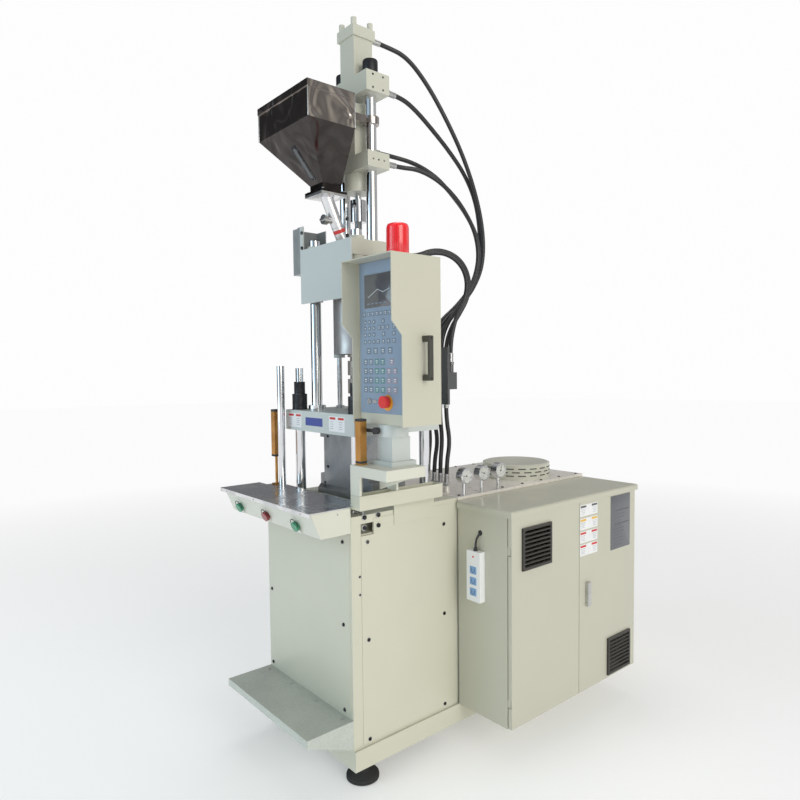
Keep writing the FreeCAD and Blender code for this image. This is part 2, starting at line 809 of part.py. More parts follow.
def control_pieces(model):
    """Side tray, arm, pedestal and the swivelling control box."""
    tray = model.box(
        ("tray_reach", "tray_end", "tray_top - tray_low"), ("column_half", "0", "tray_low")
    )
    tray_hollow = model.box(
        ("tray_reach - 2 * tray_wall", "tray_end - 2 * tray_wall", "tray_top - tray_low"),
        ("column_half + tray_wall", "tray_wall", "tray_low + tray_wall"),
    )
    hanger = model.box(
        ("tray_wall", "tray_end - arm_deep - 20", "tray_low - column_top + 60"),
        ("column_half + panel_thick", "arm_deep + 20", "column_top - 60"),
    )
    model.node("side_tray", model.fuse(model.cut(tray, tray_hollow), hanger))

    top = model.box(
        ("arm_reach", "arm_deep", "arm_thick"), ("column_half", "0", "arm_top - arm_thick")
    )
    upright_strip = model.box(
        ("tray_reach", "arm_wall", "arm_top - tray_top - seat_gap"), ("column_half", "0", "tray_top + seat_gap")
    )
    back_strip = model.box(
        ("tray_reach", "arm_wall", "arm_top - tray_top - seat_gap"),
        ("column_half", "arm_deep - arm_wall", "tray_top + seat_gap"),
    )
    web = model.extrusion(
        "XZ_Plane",
        [
            ("tray_reach", "0"),
            ("arm_reach", "0"),
            ("arm_reach", "-arm_thick"),
            ("tray_reach", "-arm_web"),
        ],
        "arm_wall",
        ("column_half", "arm_deep / 2", "arm_top"),
    )
    model.node("control_arm", model.fuse(top, upright_strip, back_strip, web))

    plate = model.middle_box(
        ("pedestal_wide", "pedestal_wide", "pedestal_plate"), ("post_x", "post_y", "arm_top")
    )
    block = model.middle_box(
        ("pedestal_block", "pedestal_block", "pedestal_tall"), ("post_x", "post_y", "arm_top + pedestal_plate")
    )
    collar = model.rod(
        "collar_radius", "collar_tall", ("post_x", "post_y", "arm_top + pedestal_plate + pedestal_tall")
    )
    spigot = model.rod("lever_hub", "24", ("post_x", "post_y", "box_low - seat_gap"))
    lever_hole = model.rod(
        "lever_radius + fit_gap",
        "collar_radius",
        ("post_x - 18", "post_y - collar_radius - 6", "box_low - seat_gap - collar_tall / 2"),
        "Y",
    )
    model.node("pedestal", model.cut(model.fuse(plate, block, collar, spigot), lever_hole))

    screw = model.rod(
        "lever_radius", "40", ("post_x - 18", "post_y - collar_radius - 6", "box_low - seat_gap - collar_tall / 2"), "Y"
    )
    hub = model.rod(
        "lever_hub",
        "16",
        ("post_x - 18", "post_y - collar_radius - 22", "box_low - seat_gap - collar_tall / 2"),
        "Y",
    )
    grip = model.box(
        ("lever_reach", "10", "12"),
        ("post_x - 18 - lever_reach", "post_y - collar_radius - 20", "box_low - seat_gap - collar_tall / 2 - 6"),
    )
    model.node("clamp_lever", model.fuse(screw, hub, grip))

    case = model.box(("box_wide", "box_deep", "box_tall"), ("box_left", "box_front", "box_low"))
    inside = model.box(
        ("box_wide - 2 * box_wall", "box_deep - 2 * box_wall", "box_tall - 2 * box_wall"),
        ("box_left + box_wall", "box_front + box_wall", "box_low + box_wall"),
    )
    roof = model.box(
        ("box_wide", "hood_reach", "hood_sheet"), ("box_left", "box_front - hood_reach", "box_low + box_tall - hood_sheet")
    )
    wings = [
        model.extrusion(
            "YZ_Plane",
            [
                ("0", "0"),
                ("0", "box_tall"),
                ("-hood_reach", "box_tall"),
                ("-hood_reach", "box_tall - hood_step"),
                ("-hood_low_reach", "box_tall - hood_step - 50"),
                ("-hood_low_reach", "0"),
            ],
            "hood_sheet",
            (x, "box_front", "box_low"),
        )
        for x in ("box_left", "box_left + box_wide - hood_sheet")
    ]
    swivel_bore = model.rod("lever_hub + fit_gap", "24", ("post_x", "post_y", "box_low"))
    socket = model.rod("lever_hub + 12", "26", ("post_x", "post_y", "box_low + box_wall"))
    stop_bore = model.rod(
        "stop_radius - 8 + fit_gap", "box_wall", ("box_left + stop_in", "box_front", "box_low + stop_low + stop_ring"), "Y"
    )
    shell = model.fuse(model.cut(case, inside), socket, roof, *wings)
    model.node("control_box", model.cut(shell, swivel_bore, stop_bore))

    pad = model.box(
        ("keypad_wide", "keypad_thick", "keypad_tall"),
        ("box_left + keypad_in", "box_front - keypad_thick", "box_low + keypad_low"),
    )
    keypad_hole = model.rod(
        "stop_radius - 8 + fit_gap",
        "keypad_thick",
        ("box_left + stop_in", "box_front - keypad_thick", "box_low + stop_low + stop_ring"),
        "Y",
    )
    model.node("keypad_panel", model.cut(pad, keypad_hole))

    bar_y = "handle_y"
    handle_x = "box_left + box_wide"
    bar = model.box(
        ("handle_bar", "18", "handle_span"), (f"{handle_x} + handle_out - handle_bar", f"{bar_y} - 9", "box_low + handle_low")
    )
    legs = [
        model.box(("handle_out", "18", "22"), (handle_x, f"{bar_y} - 9", f"box_low + handle_low + {offset}"))
        for offset in ("0", "handle_span - 22")
    ]
    model.node("carry_handle", model.fuse(bar, *legs))

    base = model.rod("beacon_radius", "beacon_base", ("beacon_x", "beacon_y", "box_low + box_tall"))
    dome = model.turned(
        [
            ("0", "0"),
            ("beacon_radius - 4", "0"),
            ("beacon_radius - 5", "beacon_tall - 14"),
            ("beacon_radius - 16", "beacon_tall"),
            ("0", "beacon_tall"),
        ],
        ("beacon_x", "beacon_y", "box_low + box_tall + beacon_base"),
    )
    model.node("beacon", model.fuse(base, dome))

    stem = model.rod(
        "stop_radius - 8",
        "stop_tall + 10",
        ("box_left + stop_in", "box_front - 20", "box_low + stop_low + stop_ring"),
        "Y",
    )
    head = model.rod(
        "stop_radius",
        "20",
        ("box_left + stop_in", "box_front - stop_travel - stop_tall - turn_gap", "box_low + stop_low + stop_ring"),
        "Y",
    )
    model.node("estop_head", model.fuse(stem, head))


def cabinet_pieces(model):
    """Electric cabinet, its doors, lid and power strip."""
    shell = model.box(
        ("cabinet_reach - door_thick - panel_gap", "cabinet_long", "cabinet_tall"),
        ("column_half + skid_lip", "cabinet_start", "cabinet_low"),
    )
    inside = model.box(
        ("cabinet_reach", "cabinet_long - 2 * cabinet_wall", "cabinet_tall - 2 * cabinet_wall"),
        ("column_half + skid_lip + cabinet_wall", "cabinet_start + cabinet_wall", "cabinet_low + cabinet_wall"),
    )
    trim = model.box(
        ("skid_lip + 2 * door_thick", "cabinet_long + 2", "cabinet_tall + 2"),
        ("cabinet_face - door_thick - panel_gap", "cabinet_start - 1", "cabinet_low - 1"),
    )
    cleat = model.box(
        ("skid_lip", "cabinet_long - 60", "60"), ("column_half", "cabinet_start + 30", "cabinet_low + 500")
    )
    pin_x = "cabinet_face - hinge_radius - pin_cover"
    leaf = "door_thick + panel_gap + hinge_root - hinge_radius - pin_cover - 1"
    lugs, pins = [], []
    for y in ("cabinet_start + hinge_radius + 2", "cabinet_end - hinge_radius - 2"):
        for z in ("cabinet_low + 90", "cabinet_low + cabinet_tall - 150"):
            lug = model.box(
                (leaf, "6", "30"), ("cabinet_face - door_thick - panel_gap - hinge_root", f"{y} - 3", z)
            )
            pin = model.rod("hinge_radius - 1.5", "50", (pin_x, y, z))
            lugs.append(lug)
            pins.append(pin)
    shell_body = model.fuse(model.cut(shell, inside, trim), cleat, *lugs, *pins)
    model.node("cabinet_shell", shell_body)

    lid = model.extrusion(
        "XY_Plane",
        [
            ("0", "0"),
            ("cabinet_reach + lid_over - skid_lip", "0"),
            ("cabinet_reach + lid_over - skid_lip", "cabinet_long + 2 * lid_over"),
            ("0", "cabinet_long + 2 * lid_over"),
        ],
        "lid_thick",
        ("column_half + skid_lip", "cabinet_start - lid_over", "cabinet_low + cabinet_tall"),
    )
    outer = model.number("cabinet_reach + lid_over - skid_lip")

    def top_rim(edge):
        """True for the lid's top edges at its front and ends."""
        box = edge.BoundBox
        return box.ZLength < 0.01 and box.ZMin > 1 and box.XMax > outer / 2

    model.node("cabinet_lid", model.rounded(lid, "lid_round", top_rim))

    doors = (
        ("left_door", "cabinet_start + panel_gap", "cabinet_start + hinge_radius + 2", "left_grille"),
        ("right_door", "cabinet_end - panel_gap - door_long", "cabinet_end - hinge_radius - 2", "right_grille"),
    )
    for name, y, pin_y, grille in doors:
        leaf = model.box(
            ("door_thick", "door_long", "cabinet_tall - 2 * panel_gap"),
            ("cabinet_face - door_thick", y, "cabinet_low + panel_gap"),
        )
        hollow = model.box(
            ("door_thick - door_sheet", "door_long - 2 * door_sheet", "cabinet_tall - 2 * panel_gap - 2 * door_sheet"),
            ("cabinet_face - door_thick", f"{y} + door_sheet", "cabinet_low + panel_gap + door_sheet"),
        )
        vent_y = f"{y} + {grille}_in"
        vent_z = f"cabinet_low + panel_gap + {grille}_low"
        vent = model.box(
            ("door_thick", "grille_wide - 16", "grille_tall - 16"),
            ("cabinet_face - door_thick", f"{vent_y} + 8", f"{vent_z} + 8"),
        )
        heights = ("cabinet_low + 90", "cabinet_low + cabinet_tall - 150")
        clears = [
            model.box(
                ("door_thick - door_sheet + 2", "2 * hinge_radius + 8", "33"),
                ("cabinet_face - door_thick - 2", f"{pin_y} - hinge_radius - 4", f"{z} - 2"),
            )
            for z in heights
        ]
        knuckles = [model.rod("hinge_radius", "18", (pin_x, pin_y, f"{z} + 31")) for z in heights]
        pin_bores = [
            model.rod("hinge_radius - 1.5 + fit_gap", "20", (pin_x, pin_y, f"{z} + 31")) for z in heights
        ]
        sheet_door = model.fuse(model.cut(leaf, hollow, vent, *clears), *knuckles)
        model.node(name, model.cut(sheet_door, *pin_bores))
        frame = model.box(("grille_thick", "grille_wide", "grille_tall"), ("cabinet_face", vent_y, vent_z))
        pitch = "(grille_tall - 2 * 9) / 9"
        gaps = [
            model.box(
                ("grille_thick", "grille_wide - 22", f"{pitch} - grille_bar"),
                ("cabinet_face", f"{vent_y} + 11", f"{vent_z} + 9 + {row} * {pitch} + grille_bar / 2"),
            )
            for row in range(9)
        ]
        model.node(grille, model.cut(frame, *gaps))

    latch_y = "cabinet_end - panel_gap - door_long + latch_in"
    latch_z = "cabinet_low + latch_low"
    lever = model.box(
        ("latch_thick", "latch_wide", "latch_tall"), ("cabinet_face + turn_gap", f"{latch_y} - latch_wide / 2", latch_z)
    )
    shaft = model.rod("6", "turn_gap + 2", ("cabinet_face + fit_gap", latch_y, f"{latch_z} + latch_tall - 14"), "X")
    model.node("door_handle", model.fuse(lever, shaft))

    model.node(
        "power_strip",
        model.box(("strip_wide", "strip_thick", "strip_tall"), ("strip_x - strip_wide / 2", "cabinet_start - strip_thick", "strip_low")),
    )


def tank_pieces(model):
    """Oil tank, its cover, the pump motor and the gauges."""
    tank = model.box(
        ("column_wide", "base_deep - tank_start", "tank_top - tank_low"), ("-column_half", "tank_start", "tank_low")
    )
    inside = model.box(
        ("column_wide - 2 * tank_wall", "base_deep - tank_start - 2 * tank_wall", "tank_top"),
        ("-column_half + tank_wall", "tank_start + tank_wall", "tank_low + tank_wall"),
    )
    model.node("oil_tank", model.cut(tank, inside))

    cover = model.box(
        ("column_wide", "base_deep - tank_start", "cover_thick"), ("-column_half", "tank_start", "tank_top")
    )
    unions = [
        model.rod("fitting_radius", "42", (f"manifold_x + {port}", "manifold_y + 22", "tank_top + cover_thick"))
        for port in LOWER_PORTS
    ]
    motor_hole = model.rod("motor_radius + seat_gap", "cover_thick", ("cowl_x", "cowl_y", "tank_top"))
    model.node("tank_cover", model.cut(model.fuse(cover, *unions), motor_hole))

    cowl = model.turned(
        [
            ("motor_radius", "0"),
            ("cowl_radius", "0"),
            ("cowl_radius", "cowl_tall"),
            ("cowl_radius - 10", "cowl_tall + 4"),
            ("0", "cowl_tall - 8"),
            ("0", "cowl_tall - 8 - cowl_wall"),
            ("cowl_radius - 10", "cowl_tall - cowl_wall"),
            ("cowl_radius - cowl_wall", "cowl_tall - cowl_wall"),
            ("cowl_radius - cowl_wall", "cowl_wall"),
            ("motor_radius", "cowl_wall"),
        ],
        ("cowl_x", "cowl_y", "tank_top + cover_thick"),
    )
    motor = model.rod(
        "motor_radius", "motor_drop + 20", ("cowl_x", "cowl_y", "tank_top + cover_thick + cowl_wall + 14 - motor_drop")
    )
    pump = model.rod(
        "pump_radius",
        "pump_drop",
        ("cowl_x", "cowl_y", "tank_top + cover_thick + cowl_wall + 14 - motor_drop - pump_drop"),
    )
    model.node("pump_motor", model.fuse(cowl, motor, pump))

    gauges = []
    for step in range(3):
        y = f"gauge_first + {step} * gauge_pitch"
        dial = model.rod("gauge_radius", "gauge_thick", ("gauge_x", y, "gauge_high"), "X")
        stem = model.rod(
            "gauge_stem", "gauge_high - tank_top - cover_thick", ("gauge_x + gauge_thick / 2", y, "tank_top + cover_thick")
        )
        gauges.append(model.fuse(dial, stem))
    model.node("pressure_gauges", model.group(*gauges))


def clamp_pieces(model):
    """Clamp cylinder, ram, tie bars, moving platen, upper mould half and guide rods."""
    tube = model.rod("cylinder_radius", "bed_low - cylinder_low", ("0", "axis_y", "cylinder_low"))
    bore = model.rod(
        "piston_radius + fit_gap",
        "bed_low - cylinder_low - gland_tall - 30",
        ("0", "axis_y", "cylinder_low + gland_tall"),
    )
    gland = model.rod("ram_radius + fit_gap", "gland_tall", ("0", "axis_y", "cylinder_low"))
    flange = model.rod("cylinder_radius + 30", "30", ("0", "axis_y", "bed_low - 30"))
    model.node("clamp_cylinder", model.cut(model.fuse(tube, flange), bore, gland))

    head = model.box(
        ("2 * crosshead_half", "bar_back - bar_front + 90", "crosshead_thick"),
        ("-crosshead_half", "bar_front - 45", "crosshead_low"),
    )
    head_bores = [
        model.rod("bar_radius + fit_gap", "crosshead_thick", (x, y, "crosshead_low")) for x, y in BAR_SPOTS
    ]
    ram = model.rod(
        "ram_radius",
        "cylinder_low + gland_tall + 12 - crosshead_low - crosshead_thick",
        ("0", "axis_y", "crosshead_low + crosshead_thick"),
    )
    piston = model.rod("piston_radius", "piston_tall", ("0", "axis_y", "cylinder_low + gland_tall + 12"))
    model.node("clamp_ram", model.fuse(model.cut(head, *head_bores), ram, piston))

    bars = []
    for x, y in BAR_SPOTS:
        bar = model.rod("bar_radius", "platen_low - bar_low", (x, y, "bar_low"))
        thread = model.rod("bar_thread_radius", "bar_top - platen_low", (x, y, "platen_low"))
        collar = model.rod("bar_radius + 9", "26", (x, y, "crosshead_low - 26"))
        bars.append(model.fuse(bar, thread, collar))
    model.node("tie_bars", model.group(*bars))

    nuts = []
    for x, y in BAR_SPOTS:
        nut = model.rod("nut_radius", "nut_top - platen_top", (x, y, "platen_top"))
        ring = model.rod("collar_bar_radius", "collar_bar_tall", (x, y, "nut_top"))
        bore = model.rod("bar_thread_radius + fit_gap", "nut_top - platen_top + collar_bar_tall", (x, y, "platen_top"))
        nuts.append(model.cut(model.fuse(nut, ring), bore))
    model.node("tie_bar_nuts", model.group(*nuts))

    platen = model.box(
        ("2 * bed_half", "bed_back - bed_front", "platen_top - platen_low"), ("-bed_half", "bed_front", "platen_low")
    )
    holes = [
        model.rod("bar_thread_radius + fit_gap", "platen_top - platen_low", (x, y, "platen_low")) for x, y in BAR_SPOTS
    ]
    throat = model.rod("platen_bore", "platen_top - platen_low", ("0", "axis_y", "platen_low"))
    model.node("moving_platen", model.cut(platen, *holes, throat))

    plate = model.box(
        ("2 * mould_half", "mould_back - mould_front", "platen_low - mould_plate_low"),
        ("-mould_half", "mould_front", "mould_plate_low"),
    )
    block = model.box(
        ("2 * mould_body_half", "mould_back - mould_front", "mould_plate_low - mould_line"),
        ("-mould_body_half", "mould_front", "mould_line"),
    )
    seat = model.rod("nozzle_radius + 4", "platen_low - nozzle_low", ("0", "axis_y", "nozzle_low"))
    model.node("mould_upper_half", model.cut(model.fuse(plate, block), seat))

    rods = []
    for side in SIDES:
        guide = model.rod("guide_radius", "guide_top - platen_top", (f"{side}guide_x", "guide_y", "platen_top"))
        flange = model.rod("guide_flange", "guide_flange_tall", (f"{side}guide_x", "guide_y", "platen_top"))
        rods.append(model.fuse(guide, flange))
        pull = model.rod(
            "carriage_rod_radius",
            "carriage_rod_top - platen_top",
            (f"{side}carriage_rod_x", "carriage_rod_y", "platen_top"),
        )
        piston = model.rod(
            "carriage_piston", "14", (f"{side}carriage_rod_x", "carriage_rod_y", "carriage_rod_top")
        )
        sole = model.rod("carriage_rod_radius + 9", "12", (f"{side}carriage_rod_x", "carriage_rod_y", "platen_top"))
        rods.append(model.fuse(pull, piston, sole))
    model.node("guide_rods", model.group(*rods))

    plate = model.box(
        ("2 * manifold_half", "manifold_plate", "manifold_high - manifold_low"),
        ("manifold_x - manifold_half", "manifold_y - manifold_plate", "manifold_low"),
    )
    arm = model.box(
        ("40", "manifold_y - manifold_plate - bed_back", "platen_top - platen_low - 20"),
        ("manifold_x - manifold_half + 30", "bed_back", "platen_low + 10"),
    )
    riser = model.box(
        ("40", "manifold_plate", "manifold_low - platen_low - 10"),
        ("manifold_x - manifold_half + 30", "manifold_y - manifold_plate", "platen_low + 10"),
    )
    ports = [
        model.rod("fitting_radius", "fitting_tall", (f"manifold_x + {port}", "manifold_y + 22", "manifold_high - 110"))
        for port in UPPER_PORTS
    ]
    lower_ports = [
        model.rod("fitting_radius", "fitting_tall", (f"manifold_x + {port}", "manifold_y + 22", "manifold_low + 20"))
        for port in LOWER_PORTS
    ]
    block = model.box(
        ("2 * manifold_half", "44", "manifold_high - 110 - manifold_low - 20 - fitting_tall"),
        ("manifold_x - manifold_half", "manifold_y", "manifold_low + 20 + fitting_tall"),
    )
    model.node("hose_manifold", model.fuse(plate, arm, riser, block, *ports, *lower_ports))


def carriage_pieces(model):
    """Injection base, barrel, nozzle cylinders, screw drive, injection cylinder and the rods between them."""
    block = model.box(
        ("2 * base_half", "base_back - base_front", "base_top - base_low"), ("-base_half", "base_front", "base_low")
    )
    bosses = [
        model.rod("guide_radius + 10", "base_low - guard_low - 8", (f"{side}guide_x", "guide_y", "guard_low + 8"))
        for side in SIDES
    ]
    caps = [
        model.rod("guide_radius + 9", "14", (f"{side}guide_x", "guide_y", "base_top")) for side in SIDES
    ]
    guides = [
        model.rod("guide_radius + fit_gap", "guide_top - guard_low", (f"{side}guide_x", "guide_y", "guard_low"))
        for side in SIDES
    ]
    bore = model.rod("head_radius + fit_gap", "base_top - base_low", ("0", "axis_y", "base_low"))
    back_ports = [
        model.rod("fitting_radius", "fitting_long", (x, "base_back", z), "Y") for x, z in BASE_PORTS
    ]
    model.node("injection_base", model.cut(model.fuse(block, *bosses, *caps, *back_ports), bore, *guides, feed_way(model)))

    guard = model.box(
        ("2 * base_half", "guard_thick", "base_top - guard_low"), ("-base_half", "base_front - guard_thick", "guard_low")
    )
    tub = model.box(
        ("side_box_wide", "side_box_deep", "side_box_tall"), ("-base_half - side_box_wide", "base_front", "side_box_low")
    )
    tub_hollow = model.box(
        ("side_box_wide - side_box_wall", "side_box_deep - 2 * side_box_wall", "side_box_tall - side_box_wall"),
        ("-base_half - side_box_wide + side_box_wall", "base_front + side_box_wall", "side_box_low + side_box_wall"),
    )
    tub_ear = model.box(
        ("2 * side_box_lap", "guard_thick", "side_box_tall"),
        ("-base_half - side_box_lap", "base_front - guard_thick", "side_box_low"),
    )
    model.node("guard_plate", model.fuse(guard, model.cut(tub, tub_hollow), tub_ear))

    tubes = []
    for side in SIDES:
        spot = (f"{side}carriage_rod_x", "carriage_rod_y")
        tube = model.rod("carriage_tube_radius", "base_low - carriage_tube_low", (*spot, "carriage_tube_low"))
        chamber = model.rod(
            "carriage_piston + fit_gap", "base_low - carriage_tube_low - 30", (*spot, "carriage_tube_low + 20")
        )
        gland = model.rod("carriage_rod_radius + fit_gap", "20", (*spot, "carriage_tube_low"))
        foot = model.middle_box(("64", "50", "16"), (*spot, "base_low - 16"))
        tubes.append(model.cut(model.fuse(tube, foot), chamber, gland))
    model.node("carriage_cylinders", model.group(*tubes))

    body = model.turned(
        [
            ("barrel_bore", "barrel_low + barrel_seat"),
            ("barrel_bore", "base_top"),
            ("head_radius", "base_top"),
            ("head_radius", "base_low"),
            ("head_radius + 14", "base_low"),
            ("head_radius + 14", "base_low - 18"),
            ("barrel_radius", "base_low - 18"),
            ("barrel_radius", "barrel_low"),
            ("nozzle_radius", "barrel_low - 26"),
            ("nozzle_radius", "nozzle_low + 38"),
            ("nozzle_tip", "nozzle_low + seat_gap"),
            ("3", "nozzle_low + seat_gap"),
            ("3", "barrel_low + 4"),
        ],
        ("0", "axis_y", "0"),
    )
    bands = [
        model.rod("heater_radius", "heater_tall", ("0", "axis_y", f"barrel_low + 14 + {step} * heater_pitch"))
        for step in range(3)
    ]
    model.node("barrel", model.cut(model.fuse(body, *[
        model.cut(band, model.rod("barrel_radius - 4", "base_low", ("0", "axis_y", "nozzle_low"))) for band in bands
    ]), feed_way(model)))

    sleeve = model.cut(
        model.rod("cover_radius", "base_low - cover_low", ("0", "axis_y", "cover_low")),
        model.rod("cover_radius - cover_wall", "base_low - cover_low", ("0", "axis_y", "cover_low")),
    )
    model.node("barrel_cover", sleeve)

    rods = []
    for side in SIDES:
        spot = (f"{side}upper_rod_x", "axis_y")
        shaft = model.rod("upper_rod_radius", "head_low - base_top", (*spot, "base_top"))
        neck = model.rod("upper_rod_radius - 5", "head_top - head_low", (*spot, "head_low"))
        nut = model.rod("head_nut_radius", "head_nut_tall", (*spot, "head_top"))
        rods.append(model.fuse(shaft, neck, nut))
    model.node("injection_rods", model.group(*rods))

    drive_bore = model.rod("drive_rod_radius + fit_gap", "cap_top - base_top", ("0", "axis_y", "base_top"))
    head = model.box(
        ("2 * head_half", "head_deep", "head_top - head_low"), ("-head_half", "axis_y - head_deep / 2", "head_low")
    )
    head_bores = [
        model.rod("upper_rod_radius - 5 + fit_gap", "head_top - head_low", (f"{side}upper_rod_x", "axis_y", "head_low"))
        for side in SIDES
    ]
    head_port = model.rod("fitting_radius", "fitting_long", ("120", "axis_y + head_deep / 2", "head_low + 23"), "Y")
    model.node("top_crosshead", model.cut(model.fuse(head, head_port), *head_bores, drive_bore))

    bracket = model.box(
        ("2 * bracket_half", "bracket_deep", "bracket_top - bracket_low"),
        ("-bracket_half", "axis_y - bracket_deep / 2", "bracket_low"),
    )
    bracket_bores = [
        model.rod(
            "upper_rod_radius + fit_gap", "bracket_top - bracket_low", (f"{side}upper_rod_x", "axis_y", "bracket_low")
        )
        for side in SIDES
    ]
    neck_bore = model.rod("housing_neck + fit_gap", "bracket_top - bracket_low", ("0", "axis_y", "bracket_low"))
    bracket_port = model.rod(
        "fitting_radius", "fitting_long", ("120", "axis_y + bracket_deep / 2", "bracket_low + 32"), "Y"
    )
    model.node("motor_bracket", model.cut(model.fuse(bracket, bracket_port), *bracket_bores, neck_bore))

    housing = model.rod("housing_radius", "housing_drop", ("0", "axis_y", "bracket_low - housing_drop"))
    neck = model.rod("housing_neck", "bracket_top - bracket_low", ("0", "axis_y", "bracket_low"))
    motor = model.middle_box(
        ("2 * motor_half", "2 * motor_half", "motor_top - bracket_top"), ("0", "axis_y", "bracket_top")
    )
    motor_port = model.rod("fitting_radius", "fitting_long", ("20", "axis_y + motor_half", "bracket_top + 46"), "Y")
    motor_bore = model.rod(
        "drive_rod_radius + fit_gap", "motor_top - bracket_low + housing_drop", ("0", "axis_y", "bracket_low - housing_drop")
    )
    model.node("screw_motor", model.cut(model.fuse(housing, neck, motor, motor_port), motor_bore))

    tube = model.middle_box(
        ("2 * ram_cylinder_half", "2 * ram_cylinder_half", "ram_cylinder_top - head_top"), ("0", "axis_y", "head_top")
    )
    cap = model.middle_box(("2 * cap_half", "2 * cap_half", "cap_thick"), ("0", "axis_y", "ram_cylinder_top"))
    tie_rods = [
        model.rod("tie_nut_radius", "tie_nut_tall", (f"{x}tie_inset", f"axis_y {y} tie_inset", "ram_cylinder_top + cap_thick"))
        for x in SIDES
        for y in "+-"
    ]
    cap_port = model.rod(
        "fitting_radius", "fitting_long", ("20", "axis_y + cap_half", "ram_cylinder_top + cap_thick / 2"), "Y"
    )
    chamber = model.rod("ram_radius - 9 + fit_gap", "ram_cylinder_top - head_top - 24", ("0", "axis_y", "head_top + 24"))
    gland = model.rod("drive_rod_radius + fit_gap", "24", ("0", "axis_y", "head_top"))
    model.node("injection_cylinder", model.cut(model.fuse(tube, cap, cap_port, *tie_rods), chamber, gland))

    coupling = model.rod("coupling_radius", "coupling_tall", ("0", "axis_y", "coupling_low"))
    rod = model.rod(
        "drive_rod_radius", "ram_cylinder_top - 22 - coupling_low - coupling_tall", ("0", "axis_y", "coupling_low + coupling_tall")
    )
    piston = model.rod("ram_radius - 9", "26", ("0", "axis_y", "ram_cylinder_top - 48"))
    shank_bore = model.rod("shank_radius + fit_gap", "coupling_tall - 22", ("0", "axis_y", "coupling_low"))
    model.node("thrust_coupling", model.cut(model.fuse(coupling, rod, piston), shank_bore))

    shank = model.rod("shank_radius", "coupling_low + coupling_tall - 24 - base_top + 40", ("0", "axis_y", "base_top - 40"))
    core = model.cone(
        "barrel_bore - screw_clear - 3",
        "barrel_bore - screw_clear - 6",
        "base_top - 40 - screw_low - 40",
        ("0", "axis_y", "screw_low + 40"),
    )
    tip = model.cone("2", "barrel_bore - screw_clear - 3", "40", ("0", "axis_y", "screw_low"))
    model.node("screw", model.fuse(shank, core, tip, screw_flight(model)))


def screw_flight(model):
    """The helical flight of the screw, swept along a helix from the named sizes."""
    outer = model.number("barrel_bore - screw_clear")
    inner = model.number("barrel_bore - screw_clear - 7")
    pitch = model.number("screw_pitch")
    long = model.number("base_top - 56 - screw_low - 56")
    wide = model.number("screw_pitch / 8")
    helix = Part.makeHelix(pitch, long, inner)
    profile = Part.makePolygon(
        [
            FreeCAD.Vector(inner, 0, -wide),
            FreeCAD.Vector(outer, 0, -wide / 2),
            FreeCAD.Vector(outer, 0, wide / 2),
            FreeCAD.Vector(inner, 0, wide),
            FreeCAD.Vector(inner, 0, -wide),
        ]
    )
    flight = model.doc.addObject("Part::Feature", "Flight")
    flight.Shape = Part.Wire(helix).makePipeShell([profile], True, True)
    return model.place(flight, ("0", "axis_y", "screw_low + 56"))


def feed_way(model):
    """The slanted bore that lets granules fall from the chute into the barrel."""
    rise = model.number("base_top - feed_end")
    run = model.number("axis_y - 12 - chute_base_y")
    lean = math.degrees(math.atan2(run, rise))
    return model.add(
        "Part::Cylinder",
        {"Radius": "feed_bore", "Height": "sqrt((base_top - feed_end)^2 + (axis_y - 12 - chute_base_y)^2) + 12"},
        ("0", "axis_y - 12", "feed_end"),
        (1, 0, 0, lean),
    )


def frustum(model, low, high, z, tall):
    """A block that narrows from one rectangle to another: each is its X limits and its Y limits."""
    (x0, x1, y0, y1), (u0, u1, v0, v1) = low, high
    wedge = model.doc.addObject("Part::Wedge", "Frustum")
    texts = {
        "Xmin": x0,
        "Xmax": x1,
        "Zmin": f"-({y1})",
        "Zmax": f"-({y0})",
        "X2min": u0,
        "X2max": u1,
        "Z2min": f"-({v1})",
        "Z2max": f"-({v0})",
        "Ymin": "0",
        "Ymax": tall,
    }
    for name, text in texts.items():
        wedge.setExpression(name, model.bound(text))
    return model.place(wedge, ("0", "0", z), (1, 0, 0, 90))


